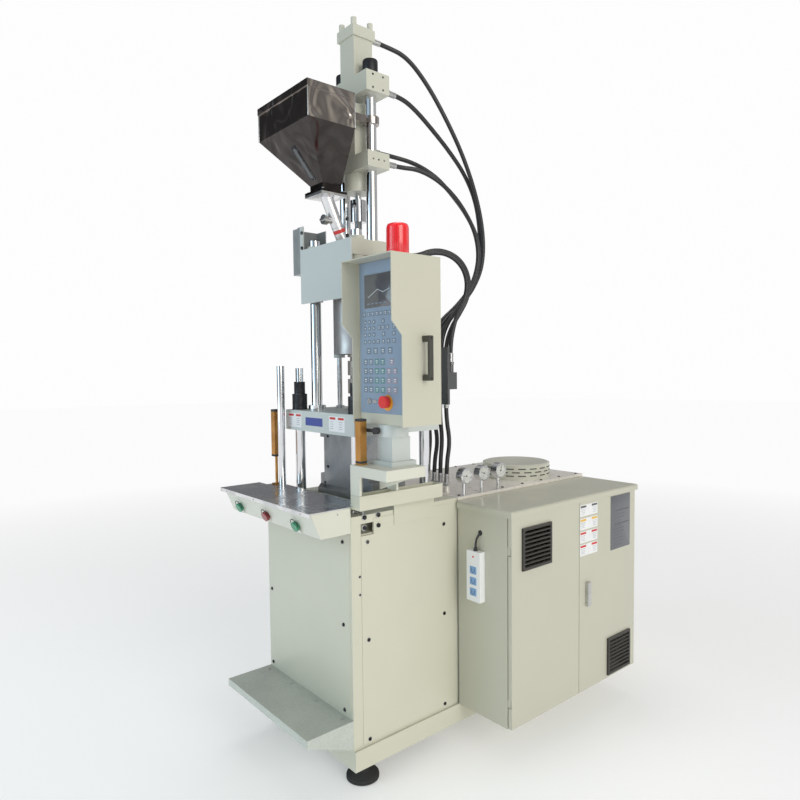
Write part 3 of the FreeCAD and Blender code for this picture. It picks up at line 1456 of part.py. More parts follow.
def hopper_pieces(model):
    """Hopper with its rim brackets, lid, feed chute and shut-off knob."""
    sheet = "hopper_sheet"
    top = ("hopper_x - hopper_half_x", "hopper_x + hopper_half_x", "hopper_y - hopper_half_y", "hopper_y + hopper_half_y")
    neck = ("hopper_x - hopper_neck", "hopper_x + hopper_neck", "flange_y - hopper_neck", "flange_y + hopper_neck")

    def inset(limits):
        """The rectangle less the sheet on every side."""
        x0, x1, y0, y1 = limits
        return (f"{x0} + {sheet}", f"{x1} - {sheet}", f"{y0} + {sheet}", f"{y1} - {sheet}")

    box = model.box(
        ("2 * hopper_half_x", "2 * hopper_half_y", "hopper_top - hopper_box_low"), (top[0], top[2], "hopper_box_low")
    )
    box_hollow = model.box(
        (f"2 * hopper_half_x - 2 * {sheet}", f"2 * hopper_half_y - 2 * {sheet}", "hopper_top - hopper_box_low"),
        (f"{top[0]} + {sheet}", f"{top[2]} + {sheet}", "hopper_box_low"),
    )
    cone = frustum(model, neck, top, "hopper_low", "hopper_box_low - hopper_low")
    cone_hollow = frustum(model, inset(neck), inset(top), "hopper_low", "hopper_box_low - hopper_low")
    spout = model.middle_box(
        ("2 * hopper_neck", "2 * hopper_neck", "hopper_low - flange_high"), ("hopper_x", "flange_y", "flange_high")
    )
    flange = model.middle_box(
        ("2 * flange_half", "2 * flange_half", "flange_thick"), ("hopper_x", "flange_y", "flange_high")
    )
    spout_hollow = model.middle_box(
        (f"2 * hopper_neck - 2 * {sheet}", f"2 * hopper_neck - 2 * {sheet}", "hopper_low - flange_high"),
        ("hopper_x", "flange_y", "flange_high"),
    )
    arms = []
    for side in SIDES:
        arm = model.box(
            ("24", "axis_y - upper_rod_radius - hopper_y - hopper_half_y", "30"),
            (f"{side}upper_rod_x - 12", "hopper_y + hopper_half_y", "hopper_top - 58"),
        )
        ring = model.cut(
            model.rod("upper_rod_radius + 12", "30", (f"{side}upper_rod_x", "axis_y", "hopper_top - 58")),
            model.rod("upper_rod_radius + fit_gap", "30", (f"{side}upper_rod_x", "axis_y", "hopper_top - 58")),
        )
        arms.append(model.fuse(
            model.cut(arm, model.rod("upper_rod_radius + 6", "30", (f"{side}upper_rod_x", "axis_y", "hopper_top - 58"))),
            ring,
        ))
    hinge_y = "hopper_y + hopper_half_y + lid_pin + 3"
    hinge_z = "hopper_top + lid_rise / 2"
    ears = [
        model.box(("8", "2 * lid_pin + 6", "lid_rise / 2 + 22"), (x, "hopper_y + hopper_half_y", "hopper_top - 18"))
        for x in ("-130", "122")
    ]
    pins = [
        model.rod("lid_pin", "30", (x, hinge_y, hinge_z), "X") for x in ("-130", "100")
    ]
    shell = model.fuse(
        model.cut(model.fuse(box, cone, spout, flange), box_hollow, cone_hollow, spout_hollow), *arms, *ears, *pins
    )
    model.node("hopper", shell)

    plate = model.box(
        (f"2 * hopper_half_x + 2 * lid_gap + 2 * {sheet}", f"2 * hopper_half_y + lid_gap + {sheet}", sheet),
        (f"{top[0]} - lid_gap - {sheet}", f"{top[2]} - lid_gap - {sheet}", "hopper_top + seat_gap"),
    )
    skirts = [
        model.box(
            (f"2 * hopper_half_x + 2 * lid_gap + 2 * {sheet}", sheet, "hopper_rim"),
            (f"{top[0]} - lid_gap - {sheet}", f"{top[2]} - lid_gap - {sheet}", f"hopper_top + seat_gap + {sheet} - hopper_rim"),
        )
    ] + [
        model.box(
            (sheet, f"2 * hopper_half_y + lid_gap + {sheet} - 10", "hopper_rim"),
            (x, f"{top[2]} - lid_gap - {sheet}", f"hopper_top + seat_gap + {sheet} - hopper_rim"),
        )
        for x in (f"{top[0]} - lid_gap - {sheet}", f"{top[1]} + lid_gap")
    ]
    curls = []
    for x in ("-118", "100"):
        curl = model.rod("lid_pin + 3", "18", (x, hinge_y, hinge_z), "X")
        tongue = model.box(("18", "lid_pin + 3", sheet), (x, "hopper_y + hopper_half_y", "hopper_top + seat_gap"))
        curls.append(model.cut(
            model.fuse(curl, tongue), model.rod("lid_pin + fit_gap", "18", (x, hinge_y, hinge_z), "X")
        ))
    notches = [
        model.box(("12", "12", "lid_rise"), (x, "hopper_y + hopper_half_y - 12", "hopper_top")) for x in ("-132", "120")
    ]
    model.node("hopper_lid", model.fuse(model.cut(plate, *notches), *skirts, *curls))

    run = model.number("chute_base_y - flange_y")
    rise = model.number("flange_high - base_top")
    lean = math.degrees(math.atan2(run, rise))

    def slant(radius):
        """A round bar along the chute's line, longer than the chute at both ends."""
        return model.add(
            "Part::Cylinder",
            {"Radius": radius, "Height": "sqrt((chute_base_y - flange_y)^2 + (flange_high - base_top)^2) + 80"},
            (
                "hopper_x",
                "chute_base_y + 40 * (chute_base_y - flange_y) / (flange_high - base_top)",
                "base_top - 40",
            ),
            (1, 0, 0, lean),
        )

    slab = model.box(("400", "600", "flange_high - base_top"), ("-200", "-100", "base_top"))
    pipe = model.doc.addObject("Part::Common", "Pipe")
    pipe.Base = slant("chute_radius")
    pipe.Tool = slab
    top_flange = model.middle_box(
        ("2 * flange_half", "2 * flange_half", "flange_thick"), ("hopper_x", "flange_y", "flange_high - flange_thick")
    )
    foot = model.rod("chute_radius + 9", "8", ("hopper_x", "chute_base_y", "base_top"))
    boss = model.rod("knob_boss", "knob_reach", ("hopper_x", "knob_y - knob_reach", "knob_z"), "Y")
    knob_bore = model.rod("knob_stem + fit_gap", "knob_reach - 4", ("hopper_x", "knob_y - knob_reach", "knob_z"), "Y")
    model.node(
        "feed_chute",
        model.cut(model.fuse(pipe, top_flange, foot, boss), slant("chute_radius - chute_wall"), knob_bore),
    )
    stem = model.rod("knob_stem", "20 + turn_gap", ("hopper_x", "knob_y - knob_reach - turn_gap", "knob_z"), "Y")
    knob = model.rod("knob_radius", "knob_thick", ("hopper_x", "knob_y - knob_reach - turn_gap - knob_thick", "knob_z"), "Y")
    bar = model.box(
        ("2 * knob_radius - 8", "6", "7"),
        ("hopper_x - knob_radius + 4", "knob_y - knob_reach - turn_gap - knob_thick - 6", "knob_z - 3.5"),
    )
    model.node("chute_knob", model.fuse(stem, knob, bar))


# Routes of the hoses, in the machine frame: the first point lies on the upper fitting and the last on the manifold.
UPPER_ROUTES = [
    [(120, 360.5, 2745), (120, 432, 2745), (120, 515, 2712), (119, 615, 2650), (108, 725, 2586),
     (97, 842, 2500), (86, 925, 2390), (75, 965, 2250), (75, 958, 2100), (75, 893, 1975), (75, 798, 1886),
     (75, 693, 1814), (75, 612, 1716), (75, 612, 1626)],
    [(20, 358.5, 2994), (20, 430, 2994), (58, 516, 2963), (96, 602, 2858), (122, 700, 2712),
     (127, 805, 2562), (116, 900, 2400), (105, 957, 2240), (105, 952, 2090), (105, 885, 1972),
     (105, 790, 1885), (105, 689, 1813), (105, 612, 1720), (105, 612, 1626)],
    [(20, 351.5, 2530), (20, 418, 2530), (25, 482, 2528), (58, 536, 2512), (96, 584, 2482),
     (127, 640, 2440), (134, 714, 2384), (135, 802, 2314), (135, 880, 2220), (135, 898, 2110),
     (135, 858, 2002), (135, 790, 1912), (135, 716, 1836), (135, 650, 1768), (135, 612, 1698),
     (135, 612, 1626)],
    [(120, 357.5, 2452), (120, 426, 2452), (153, 495, 2450), (182, 580, 2416), (191, 670, 2362),
     (178, 760, 2300), (165, 838, 2220), (165, 860, 2118), (165, 834, 2018), (165, 775, 1935),
     (165, 706, 1858), (165, 640, 1782), (165, 612, 1702), (165, 612, 1626)],
    [(135, 414, 2082), (135, 466, 2082), (137, 520, 2094), (153, 564, 2113), (175, 616, 2116),
     (196, 676, 2096), (208, 725, 2050), (208, 752, 1985), (200, 748, 1912), (189, 704, 1839),
     (195, 646, 1778), (195, 612, 1700), (195, 612, 1626)],
    [(170, 414, 2070), (170, 464, 2070), (172, 515, 2086), (187, 558, 2099), (206, 609, 2096),
     (223, 658, 2070), (233, 694, 2025), (234, 710, 1966), (227, 700, 1899), (225, 656, 1838),
     (225, 628, 1770), (225, 612, 1696), (225, 612, 1626)],
]
LOWER_ROUTES = [
    [(75, 612, 1460), (75, 612, 1380), (71, 632, 1276), (75, 612, 1174), (75, 612, 1090)],
    [(115, 612, 1460), (115, 612, 1372), (118, 634, 1270), (115, 612, 1170), (115, 612, 1090)],
    [(155, 612, 1460), (155, 612, 1384), (151, 630, 1278), (155, 612, 1178), (155, 612, 1090)],
    [(195, 612, 1460), (195, 612, 1376), (197, 633, 1272), (195, 612, 1172), (195, 612, 1090)],
]


def hose(model, points):
    """A round hose along straight runs joined by arcs as large as the runs allow; prints the smallest radius."""
    spots = [FreeCAD.Vector(*point) for point in points]
    shift = FreeCAD.Vector(model.number("origin_x"), model.number("origin_y"), 0)
    spots = [spot + shift for spot in spots]
    edges, start, radii = [], spots[0], []
    for before, corner, after in zip(spots, spots[1:], spots[2:]):
        back, ahead = (before - corner), (after - corner)
        half_turn = (math.pi - back.getAngle(ahead)) / 2
        trim = 0.45 * min(back.Length, ahead.Length)
        radius = trim / math.tan(half_turn)
        radii.append(radius)
        one = corner + back.normalize() * trim
        two = corner + ahead.normalize() * trim
        middle_way = (one + two) / 2 - corner
        centre = corner + middle_way.normalize() * math.hypot(radius, trim)
        bend = centre - (centre - corner).normalize() * radius
        edges += [Part.LineSegment(start, one).toShape(), Part.Arc(one, bend, two).toShape()]
        start = two
    edges.append(Part.LineSegment(start, spots[-1]).toShape())
    path = Part.Wire(edges)
    first = spots[1] - spots[0]
    radius = model.number("hose_radius")
    ring = Part.Wire([Part.Circle(spots[0], first, radius).toShape()])
    tube = path.makePipeShell([ring], True, False)
    swept = math.pi * radius**2 * path.Length
    print(f"hose {path.Length:.0f} mm, least bend {min(radii):.0f} mm, volume ratio {tube.Volume / swept:.4f}")
    return tube


def hose_pieces(model):
    """The hoses between the injection unit, the manifold and the tank."""
    for name, routes in (("upper_hoses", UPPER_ROUTES), ("lower_hoses", LOWER_ROUTES)):
        bundle = model.doc.addObject("Part::Feature", "Hoses")
        bundle.Shape = Part.makeCompound([hose(model, route) for route in routes])
        model.node(name, bundle)


def main():
    """Builds every sub-part, checks them all and writes one STEP file each."""
    model = Model()
    frame_pieces(model)
    bed_pieces(model)
    control_pieces(model)
    cabinet_pieces(model)
    tank_pieces(model)
    clamp_pieces(model)
    carriage_pieces(model)
    hopper_pieces(model)
    hose_pieces(model)
    model.doc.recompute()
    faults = [item.Label for item in model.doc.Objects if {"Invalid", "Error"} & set(item.State)]
    faults += [item.Label for item in model.nodes if item.Shape.isNull() or not item.Shape.isValid()]
    if faults:
        raise RuntimeError(f"these objects failed: {faults}")
    os.makedirs("parts", exist_ok=True)
    for item in model.nodes:
        item.Shape.exportStep(f"parts/{item.Label}.step")
    print(len(model.nodes), "sub-parts written")


main()
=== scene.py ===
"""Visual model of an upright injection moulding machine: camera, hoses, finishes, fittings and studio."""

import json
import logging
import math
from collections.abc import Iterable, Sequence
from dataclasses import dataclass, field
from enum import Enum

import bmesh
import bpy
from mathutils import Matrix, Vector

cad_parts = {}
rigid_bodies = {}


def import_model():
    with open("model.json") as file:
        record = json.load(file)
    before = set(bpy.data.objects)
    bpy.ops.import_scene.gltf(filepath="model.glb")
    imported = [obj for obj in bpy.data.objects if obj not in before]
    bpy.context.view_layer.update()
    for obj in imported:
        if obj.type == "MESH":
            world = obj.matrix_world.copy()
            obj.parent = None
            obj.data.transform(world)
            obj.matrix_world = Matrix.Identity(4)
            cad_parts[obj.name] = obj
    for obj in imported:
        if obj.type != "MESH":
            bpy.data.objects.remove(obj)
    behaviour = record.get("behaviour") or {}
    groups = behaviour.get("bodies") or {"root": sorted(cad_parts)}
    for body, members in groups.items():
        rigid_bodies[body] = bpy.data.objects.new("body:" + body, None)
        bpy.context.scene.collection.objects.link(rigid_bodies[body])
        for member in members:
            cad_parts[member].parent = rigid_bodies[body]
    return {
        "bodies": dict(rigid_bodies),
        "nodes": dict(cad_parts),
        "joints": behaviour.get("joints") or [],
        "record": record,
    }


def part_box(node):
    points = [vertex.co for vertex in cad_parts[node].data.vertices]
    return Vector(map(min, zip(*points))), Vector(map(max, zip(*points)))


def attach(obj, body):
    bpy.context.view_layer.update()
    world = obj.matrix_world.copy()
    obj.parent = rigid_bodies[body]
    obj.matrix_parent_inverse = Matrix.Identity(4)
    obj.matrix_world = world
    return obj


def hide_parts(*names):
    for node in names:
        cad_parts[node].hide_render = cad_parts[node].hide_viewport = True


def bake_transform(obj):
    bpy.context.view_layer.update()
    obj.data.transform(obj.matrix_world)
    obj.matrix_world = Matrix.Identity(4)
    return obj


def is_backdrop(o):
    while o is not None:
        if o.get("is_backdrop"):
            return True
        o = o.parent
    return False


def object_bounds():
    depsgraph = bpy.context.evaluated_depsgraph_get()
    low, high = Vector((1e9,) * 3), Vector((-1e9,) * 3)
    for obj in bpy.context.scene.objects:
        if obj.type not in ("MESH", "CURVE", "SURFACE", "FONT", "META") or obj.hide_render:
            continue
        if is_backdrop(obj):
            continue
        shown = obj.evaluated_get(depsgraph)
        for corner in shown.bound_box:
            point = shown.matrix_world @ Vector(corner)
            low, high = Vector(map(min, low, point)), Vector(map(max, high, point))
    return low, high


LOG = logging.getLogger("moulding_machine")
ROW_SHIFT = Vector((-123.5, -637.5, 0.0))
MILLIMETRE = 0.001
SHARP_ANGLE = math.radians(32.0)
SKIN = 0.25

Color = tuple[float, float, float]
Spot = tuple[float, float, float]


def at(x: float, y: float, z: float) -> Vector:
    """Point of the row frame in metres.

    Args:
        x: Distance right of the column's middle, in millimetres.
        y: Distance behind the column's front face, in millimetres.
        z: Height above the floor, in millimetres.

    Returns:
        The same point in the row frame.
    """
    return (Vector((x, y, z)) + ROW_SHIFT) * MILLIMETRE


@dataclass(frozen=True)
class Extent:
    """Box round a frame node, in millimetres from the column's front and middle."""

    left: float
    right: float
    front: float
    back: float
    low: float
    high: float

    @classmethod
    def of(cls, node: str) -> "Extent":
        """Box of one frame node.

        Args:
            node: The node's name.

        Returns:
            Its extent.
        """
        low, high = (corner / MILLIMETRE - ROW_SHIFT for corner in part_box(node))
        return cls(low.x, high.x, low.y, high.y, low.z, high.z)

    @property
    def middle(self) -> Vector:
        """Centre of the box."""
        across = (self.left + self.right) / 2
        return Vector((across, (self.front + self.back) / 2, (self.low + self.high) / 2))


class Body(str, Enum):
    """Moving groups of the machine that a piece can ride on."""

    FRAME = "frame"
    CLAMP = "clamp"
    CARRIAGE = "carriage"
    HEAD = "control_head"
    LEFT_DOOR = "left_door"
    RIGHT_DOOR = "right_door"
    HANDLE = "door_handle"
    LID = "hopper_lid"
    DRIVE = "screw_drive"


class Facing(Enum):
    """Side that a flat detail looks to; its values are the directions of its width, height and normal."""

    FRONT = ((1, 0, 0), (0, 0, 1), (0, -1, 0))
    RIGHT = ((0, 1, 0), (0, 0, 1), (1, 0, 0))
    BACK = ((-1, 0, 0), (0, 0, 1), (0, 1, 0))
    LEFT = ((0, -1, 0), (0, 0, 1), (-1, 0, 0))
    UP = ((1, 0, 0), (0, 1, 0), (0, 0, 1))

    def at(self, x: float, y: float, z: float) -> Matrix:
        """Placement of a shape modelled in millimetres and looking along its own +Z.

        Args:
            x: Distance right of the column's middle.
            y: Distance behind the column's front face.
            z: Height.

        Returns:
            The matrix that takes the shape to its place.
        """
        return placed(at(x, y, z), self.value)


def placed(origin: Vector, axes: Sequence[Sequence[float]]) -> Matrix:
    """Matrix from three axis directions, an origin in metres and the step from millimetres to metres.

    Args:
        origin: Where the shape's own origin goes.
        axes: Directions of its width, height and normal.

    Returns:
        The placement.
    """
    turn = Matrix([Vector(axis) for axis in axes]).transposed().to_4x4()
    return Matrix.Translation(origin) @ turn @ Matrix.Scale(MILLIMETRE, 4)


def along(start: Vector, direction: Vector) -> Matrix:
    """Placement of a turned shape whose own +Z runs along a direction.

    Args:
        start: Its base, in metres.
        direction: Where its axis points.

    Returns:
        The placement.
    """
    turn = direction.to_track_quat("Z", "Y").to_matrix().to_4x4()
    return Matrix.Translation(start) @ turn @ Matrix.Scale(MILLIMETRE, 4)


# ---------------------------------------------------------------- node trees


class Tree:
    """Adds nodes to a node tree and links them by socket."""

    def __init__(self, tree: bpy.types.NodeTree) -> None:
        """Wraps a tree."""
        self.tree = tree

    def node(self, kind: str, values: dict | None = None, **settings: object) -> bpy.types.Node:
        """Adds one node.

        Args:
            kind: The node's type after "ShaderNode".
            values: Numbers, colours or sockets by input name or index.
            settings: The node's own properties.

        Returns:
            The node.
        """
        made = self.tree.nodes.new("ShaderNode" + kind)
        for key, value in settings.items():
            setattr(made, key, value)
        for key, value in (values or {}).items():
            if isinstance(value, bpy.types.NodeSocket):
                self.tree.links.new(value, made.inputs[key])
            else:
                made.inputs[key].default_value = value
        return made

    def math(self, operation: str, *terms: object, clamp: bool = False) -> bpy.types.NodeSocket:
        """Output of a Math node with these terms."""
        made = self.node("Math", dict(enumerate(terms)), operation=operation, use_clamp=clamp)
        return made.outputs[0]

    def blend(self, share: object, first: object, second: object) -> bpy.types.NodeSocket:
        """Colour between two others; a colour may be a tuple or a socket."""
        first, second = (rgba(c) if isinstance(c, tuple) else c for c in (first, second))
        return self.node("Mix", {0: share, 6: first, 7: second}, data_type="RGBA").outputs[2]

    def group(self, name: str, **values: object) -> bpy.types.Node:
        """Places a shared node group with its own values."""
        made = self.tree.nodes.new("ShaderNodeGroup")
        made.node_tree = bpy.data.node_groups[name]
        for key, value in values.items():
            made.inputs[key].default_value = value
        return made


def rgba(color: Color) -> tuple[float, float, float, float]:
    """Colour with full opacity."""
    return (*color, 1.0)


class Effects:
    """Shared shader node groups, each built once and placed in materials with their own values."""

    @staticmethod
    def start(name: str, inputs: dict[str, float], outputs: Iterable[str]) -> tuple[Tree, object, object]:
        """Starts a node group.

        Args:
            name: The group's name.
            inputs: Default of each numeric input.
            outputs: Names of its numeric outputs.

        Returns:
            The tree, its input node and its output node.
        """
        made = bpy.data.node_groups.new(name, "ShaderNodeTree")
        for key, value in inputs.items():
            socket = made.interface.new_socket(name=key, in_out="INPUT", socket_type="NodeSocketFloat")
            socket.default_value = value
        for key in outputs:
            made.interface.new_socket(name=key, in_out="OUTPUT", socket_type="NodeSocketFloat")
        return Tree(made), made.nodes.new("NodeGroupInput"), made.nodes.new("NodeGroupOutput")

    @classmethod
    def build(cls) -> None:
        """Builds every group."""
        cls.mottle()
        cls.edge_wear()
        cls.brushed()
        cls.dust()
        cls.smears()
        cls.spangle()

    @classmethod
    def mottle(cls) -> None:
        """Cloudy variation with a finer speckle over it."""
        tree, given, out = cls.start("Mottle", {"Scale": 4.0, "Contrast": 1.4}, ("Mask", "Fine"))
        spot = tree.node("TexCoord").outputs["Object"]
        broad = tree.node("TexNoise", {"Vector": spot, "Scale": given.outputs["Scale"], "Detail": 5.0})
        centred = tree.math("SUBTRACT", broad.outputs["Fac"], 0.5)
        spread = tree.math("MULTIPLY", centred, given.outputs["Contrast"])
        tree.tree.links.new(tree.math("ADD", spread, 0.5, clamp=True), out.inputs["Mask"])
        fine = tree.node("TexNoise", {"Vector": spot, "Scale": 700.0, "Detail": 2.0})
        tree.tree.links.new(fine.outputs["Fac"], out.inputs["Fine"])

    @classmethod
    def edge_wear(cls) -> None:
        """Rubbed edges, broken up by noise."""
        tree, given, out = cls.start("EdgeWear", {"Radius": 0.002, "Amount": 1.0}, ("Mask",))
        round_off = tree.node("Bevel", {"Radius": given.outputs["Radius"]}, samples=4)
        flat = tree.node("NewGeometry").outputs["Normal"]
        product = tree.node("VectorMath", {0: round_off.outputs[0], 1: flat}, operation="DOT_PRODUCT")
        same = product.outputs["Value"]
        edge = tree.math("MULTIPLY", tree.math("SUBTRACT", 1.0, same), 9.0, clamp=True)
        spot = tree.node("TexCoord").outputs["Object"]
        chips = tree.node("TexNoise", {"Vector": spot, "Scale": 26.0, "Detail": 6.0}).outputs["Fac"]
        picked = tree.node("MapRange", {"Value": chips, "From Min": 0.47, "From Max": 0.66}).outputs[0]
        worn = tree.math("MULTIPLY", tree.math("MULTIPLY", edge, picked), given.outputs["Amount"], clamp=True)
        tree.tree.links.new(worn, out.inputs["Mask"])

    @classmethod
    def brushed(cls) -> None:
        """Fine parallel grain, stretched along one axis by the three stretches."""
        tree, given, out = cls.start("Brushed", {"Along X": 1.0, "Along Y": 1.0, "Along Z": 1.0}, ("Mask",))
        spot = tree.node("TexCoord").outputs["Object"]
        stretch = tree.node("CombineXYZ", {i: given.outputs[i] for i in range(3)}).outputs[0]
        lines = tree.node("VectorMath", {0: spot, 1: stretch}, operation="MULTIPLY").outputs[0]
        grain = tree.node("TexNoise", {"Vector": lines, "Scale": 1.0, "Detail": 4.0, "Roughness": 0.65})
        tree.tree.links.new(grain.outputs["Fac"], out.inputs["Mask"])

    @classmethod
    def dust(cls) -> None:
        """Dust that settles on faces that look up."""
        tree, given, out = cls.start("Dust", {"Amount": 0.4}, ("Mask",))
        normal = tree.node("NewGeometry").outputs["Normal"]
        lift = tree.node("SeparateXYZ", {0: normal}).outputs["Z"]
        spot = tree.node("TexCoord").outputs["Object"]
        patches = tree.node("TexNoise", {"Vector": spot, "Scale": 9.0, "Detail": 7.0}).outputs["Fac"]
        laid = tree.math("MULTIPLY", tree.math("MAXIMUM", lift, 0.06), patches)
        mask = tree.math("MULTIPLY", laid, given.outputs["Amount"], clamp=True)
        tree.tree.links.new(mask, out.inputs["Mask"])

    @classmethod
    def smears(cls) -> None:
        """Wiped streaks and hand marks on bare metal."""
        tree, given, out = cls.start("Smears", {"Scale": 7.0, "Swirl": 1.5}, ("Mask",))
        spot = tree.node("TexCoord").outputs["Object"]
        marks = tree.node(
            "TexNoise",
            {
                "Vector": spot,
                "Scale": given.outputs["Scale"],
                "Detail": 3.0,
                "Distortion": given.outputs["Swirl"],
            },
        )
        picked = tree.node("MapRange", {"Value": marks.outputs["Fac"], "From Min": 0.36, "From Max": 0.66})
        tree.tree.links.new(picked.outputs[0], out.inputs["Mask"])

    @classmethod
    def spangle(cls) -> None:
        """Small crystal facets, as on rolled or zinc-coated sheet."""
        tree, given, out = cls.start("Spangle", {"Scale": 160.0}, ("Mask",))
        spot = tree.node("TexCoord").outputs["Object"]
        cells = tree.node("TexVoronoi", {"Vector": spot, "Scale": given.outputs["Scale"]})
        shade = tree.node("SeparateColor", {0: cells.outputs["Color"]}).outputs[0]
        tree.tree.links.new(shade, out.inputs["Mask"])


# ------------------------------------------------------------------ finishes


@dataclass(frozen=True)
class Finish:
    """A finish with a name; the kinds of finish below build its material."""

    name: str
    color: Color

    def dress(self, tree: Tree, shader: bpy.types.Node) -> None:
        """Fills in the shader's inputs."""
        raise NotImplementedError

    def material(self) -> bpy.types.Material:
        """The finish's material, built on first use."""
        known = bpy.data.materials.get(self.name)
        if known:
            return known
        made = bpy.data.materials.new(self.name)
        made.use_nodes = True
        made.node_tree.nodes.clear()
        tree = Tree(made.node_tree)
        shader = tree.node("BsdfPrincipled")
        tree.node("OutputMaterial", {"Surface": shader.outputs[0]})
        self.dress(tree, shader)
        return made


def connect(tree: Tree, shader: bpy.types.Node, **sockets: object) -> None:
    """Links or sets the shader's inputs; an underscore in a key stands for a space.

    Args:
        tree: The material's tree.
        shader: Its shader.
        sockets: Values or output sockets by input name.
    """
    for key, value in sockets.items():
        target = shader.inputs[key.replace("_", " ")]
        if isinstance(value, bpy.types.NodeSocket):
            tree.tree.links.new(value, target)
        else:
            target.default_value = value


@dataclass(frozen=True)
class Enamel(Finish):
    """Sprayed enamel on steel, with orange peel, light grime and rubbed edges."""

    shade: Color = (0.55, 0.55, 0.5)
    rough: float = 0.34
    wear: float = 0.5
    dirt: float = 0.35
    peel: float = 0.00012

    def dress(self, tree: Tree, shader: bpy.types.Node) -> None:
        """Fills in the shader's inputs."""
        clouds = tree.group("Mottle", Scale=3.2, Contrast=1.6)
        dust = tree.group("Dust", Amount=self.dirt).outputs["Mask"]
        worn = tree.group("EdgeWear", Radius=0.0022, Amount=self.wear).outputs["Mask"]
        paint = tree.blend(tree.math("MULTIPLY", clouds.outputs["Mask"], 0.6), self.color, self.shade)
        dusty = tree.blend(dust, paint, (0.36, 0.34, 0.29))
        color = tree.blend(worn, dusty, (0.47, 0.46, 0.42))
        dull = tree.math("MULTIPLY", clouds.outputs["Mask"], 0.1)
        clean = tree.math("ADD", dull, self.rough)
        rough = tree.math("ADD", clean, tree.math("MULTIPLY", dust, 0.5), clamp=True)
        spot = tree.node("TexCoord").outputs["Object"]
        skin = tree.node("TexNoise", {"Vector": spot, "Scale": 420.0, "Detail": 1.5})
        bump = tree.node("Bump", {"Height": skin.outputs["Fac"], "Distance": self.peel, "Strength": 0.5})
        connect(tree, shader, Base_Color=color, Roughness=rough, Normal=bump.outputs[0])
        connect(tree, shader, Coat_Weight=0.3, Coat_Roughness=0.16, IOR=1.5)


@dataclass(frozen=True)
class SplitEnamel(Enamel):
    """Enamel in two colours that meet on a plane across the machine."""

    other: Color = (0.2, 0.2, 0.2)
    split: float = 0.0

    def dress(self, tree: Tree, shader: bpy.types.Node) -> None:
        """Fills in the shader's inputs."""
        super().dress(tree, shader)
        spot = tree.node("SeparateXYZ", {0: tree.node("TexCoord").outputs["Object"]}).outputs["X"]
        side = tree.math("LESS_THAN", spot, self.split)
        before = shader.inputs["Base Color"].links[0].from_socket
        clouds = tree.group("Mottle", Scale=11.0, Contrast=1.5).outputs["Mask"]
        second = tree.blend(clouds, self.other, tuple(c * 0.72 for c in self.other))
        connect(tree, shader, Base_Color=tree.blend(side, before, second))


@dataclass(frozen=True)
class Steel(Finish):
    """Bare or plated steel with grain, smears and polish."""

    shade: Color = (0.3, 0.3, 0.3)
    rough: float = 0.22
    uneven: float = 0.12
    grain: tuple[float, float, float] = (40.0, 900.0, 900.0)
    relief: float = 0.00001
    smear_scale: float = 7.0
    dents: float = 0.0
    wear: float = 0.7

    def dress(self, tree: Tree, shader: bpy.types.Node) -> None:
        """Fills in the shader's inputs."""
        x, y, z = self.grain
        lines = tree.group("Brushed", **{"Along X": x, "Along Y": y, "Along Z": z}).outputs["Mask"]
        smear = tree.group("Smears", Scale=self.smear_scale, Swirl=1.6).outputs["Mask"]
        base = tree.blend(tree.math("MULTIPLY", smear, 0.55), self.color, self.shade)
        base = tree.blend(tree.math("MULTIPLY", lines, 0.22), base, tuple(c * 0.6 for c in self.shade))
        if self.wear:
            worn = tree.group("EdgeWear", Radius=0.0015, Amount=self.wear).outputs["Mask"]
            base = tree.blend(worn, base, (0.72, 0.72, 0.71))
        streaks = tree.math("MULTIPLY", tree.math("SUBTRACT", lines, 0.5), self.uneven)
        marks = tree.math("MULTIPLY", smear, self.uneven * 0.8)
        rough = tree.math("ADD", tree.math("ADD", streaks, marks), self.rough, clamp=True)
        normal = tree.node("Bump", {"Height": lines, "Distance": self.relief, "Strength": 0.6})
        if self.dents:
            spot = tree.node("TexCoord").outputs["Object"]
            waves = tree.node("TexNoise", {"Vector": spot, "Scale": 7.5, "Detail": 1.2, "Distortion": 1.1})
            heights = {"Height": waves.outputs["Fac"], "Distance": self.dents, "Strength": 1.0}
            normal = tree.node("Bump", heights | {"Normal": normal.outputs[0]})
        connect(tree, shader, Base_Color=base, Roughness=rough, Metallic=1.0, Normal=normal.outputs[0])


@dataclass(frozen=True)
class SteelWithPaintedFloorReflection(Steel):
    """Steel that is duller below a height, and darker there as a painted reflection of a dark floor."""

    # Colour below the height: a painted reflection of a dark floor.
    lower: Color = (0.2, 0.2, 0.2)
    height: float = 0.0
    dull: float = 0.14

    def dress(self, tree: Tree, shader: bpy.types.Node) -> None:
        """Fills in the shader's inputs."""
        super().dress(tree, shader)
        spot = tree.node("SeparateXYZ", {0: tree.node("TexCoord").outputs["Object"]}).outputs["Z"]
        below = tree.math("LESS_THAN", spot, self.height)
        color = shader.inputs["Base Color"].links[0].from_socket
        rough = shader.inputs["Roughness"].links[0].from_socket
        smear = tree.group("Smears", Scale=9.0, Swirl=1.2).outputs["Mask"]
        # Painted reflection: below the height the colour turns dark, standing in for a dark floor mirrored in
        # the sheet.
        dark = tree.blend(smear, self.lower, tuple(c * 1.5 for c in self.lower))
        connect(tree, shader, Base_Color=tree.blend(below, color, dark))
        connect(tree, shader, Roughness=tree.math("ADD", rough, tree.math("MULTIPLY", below, self.dull)))


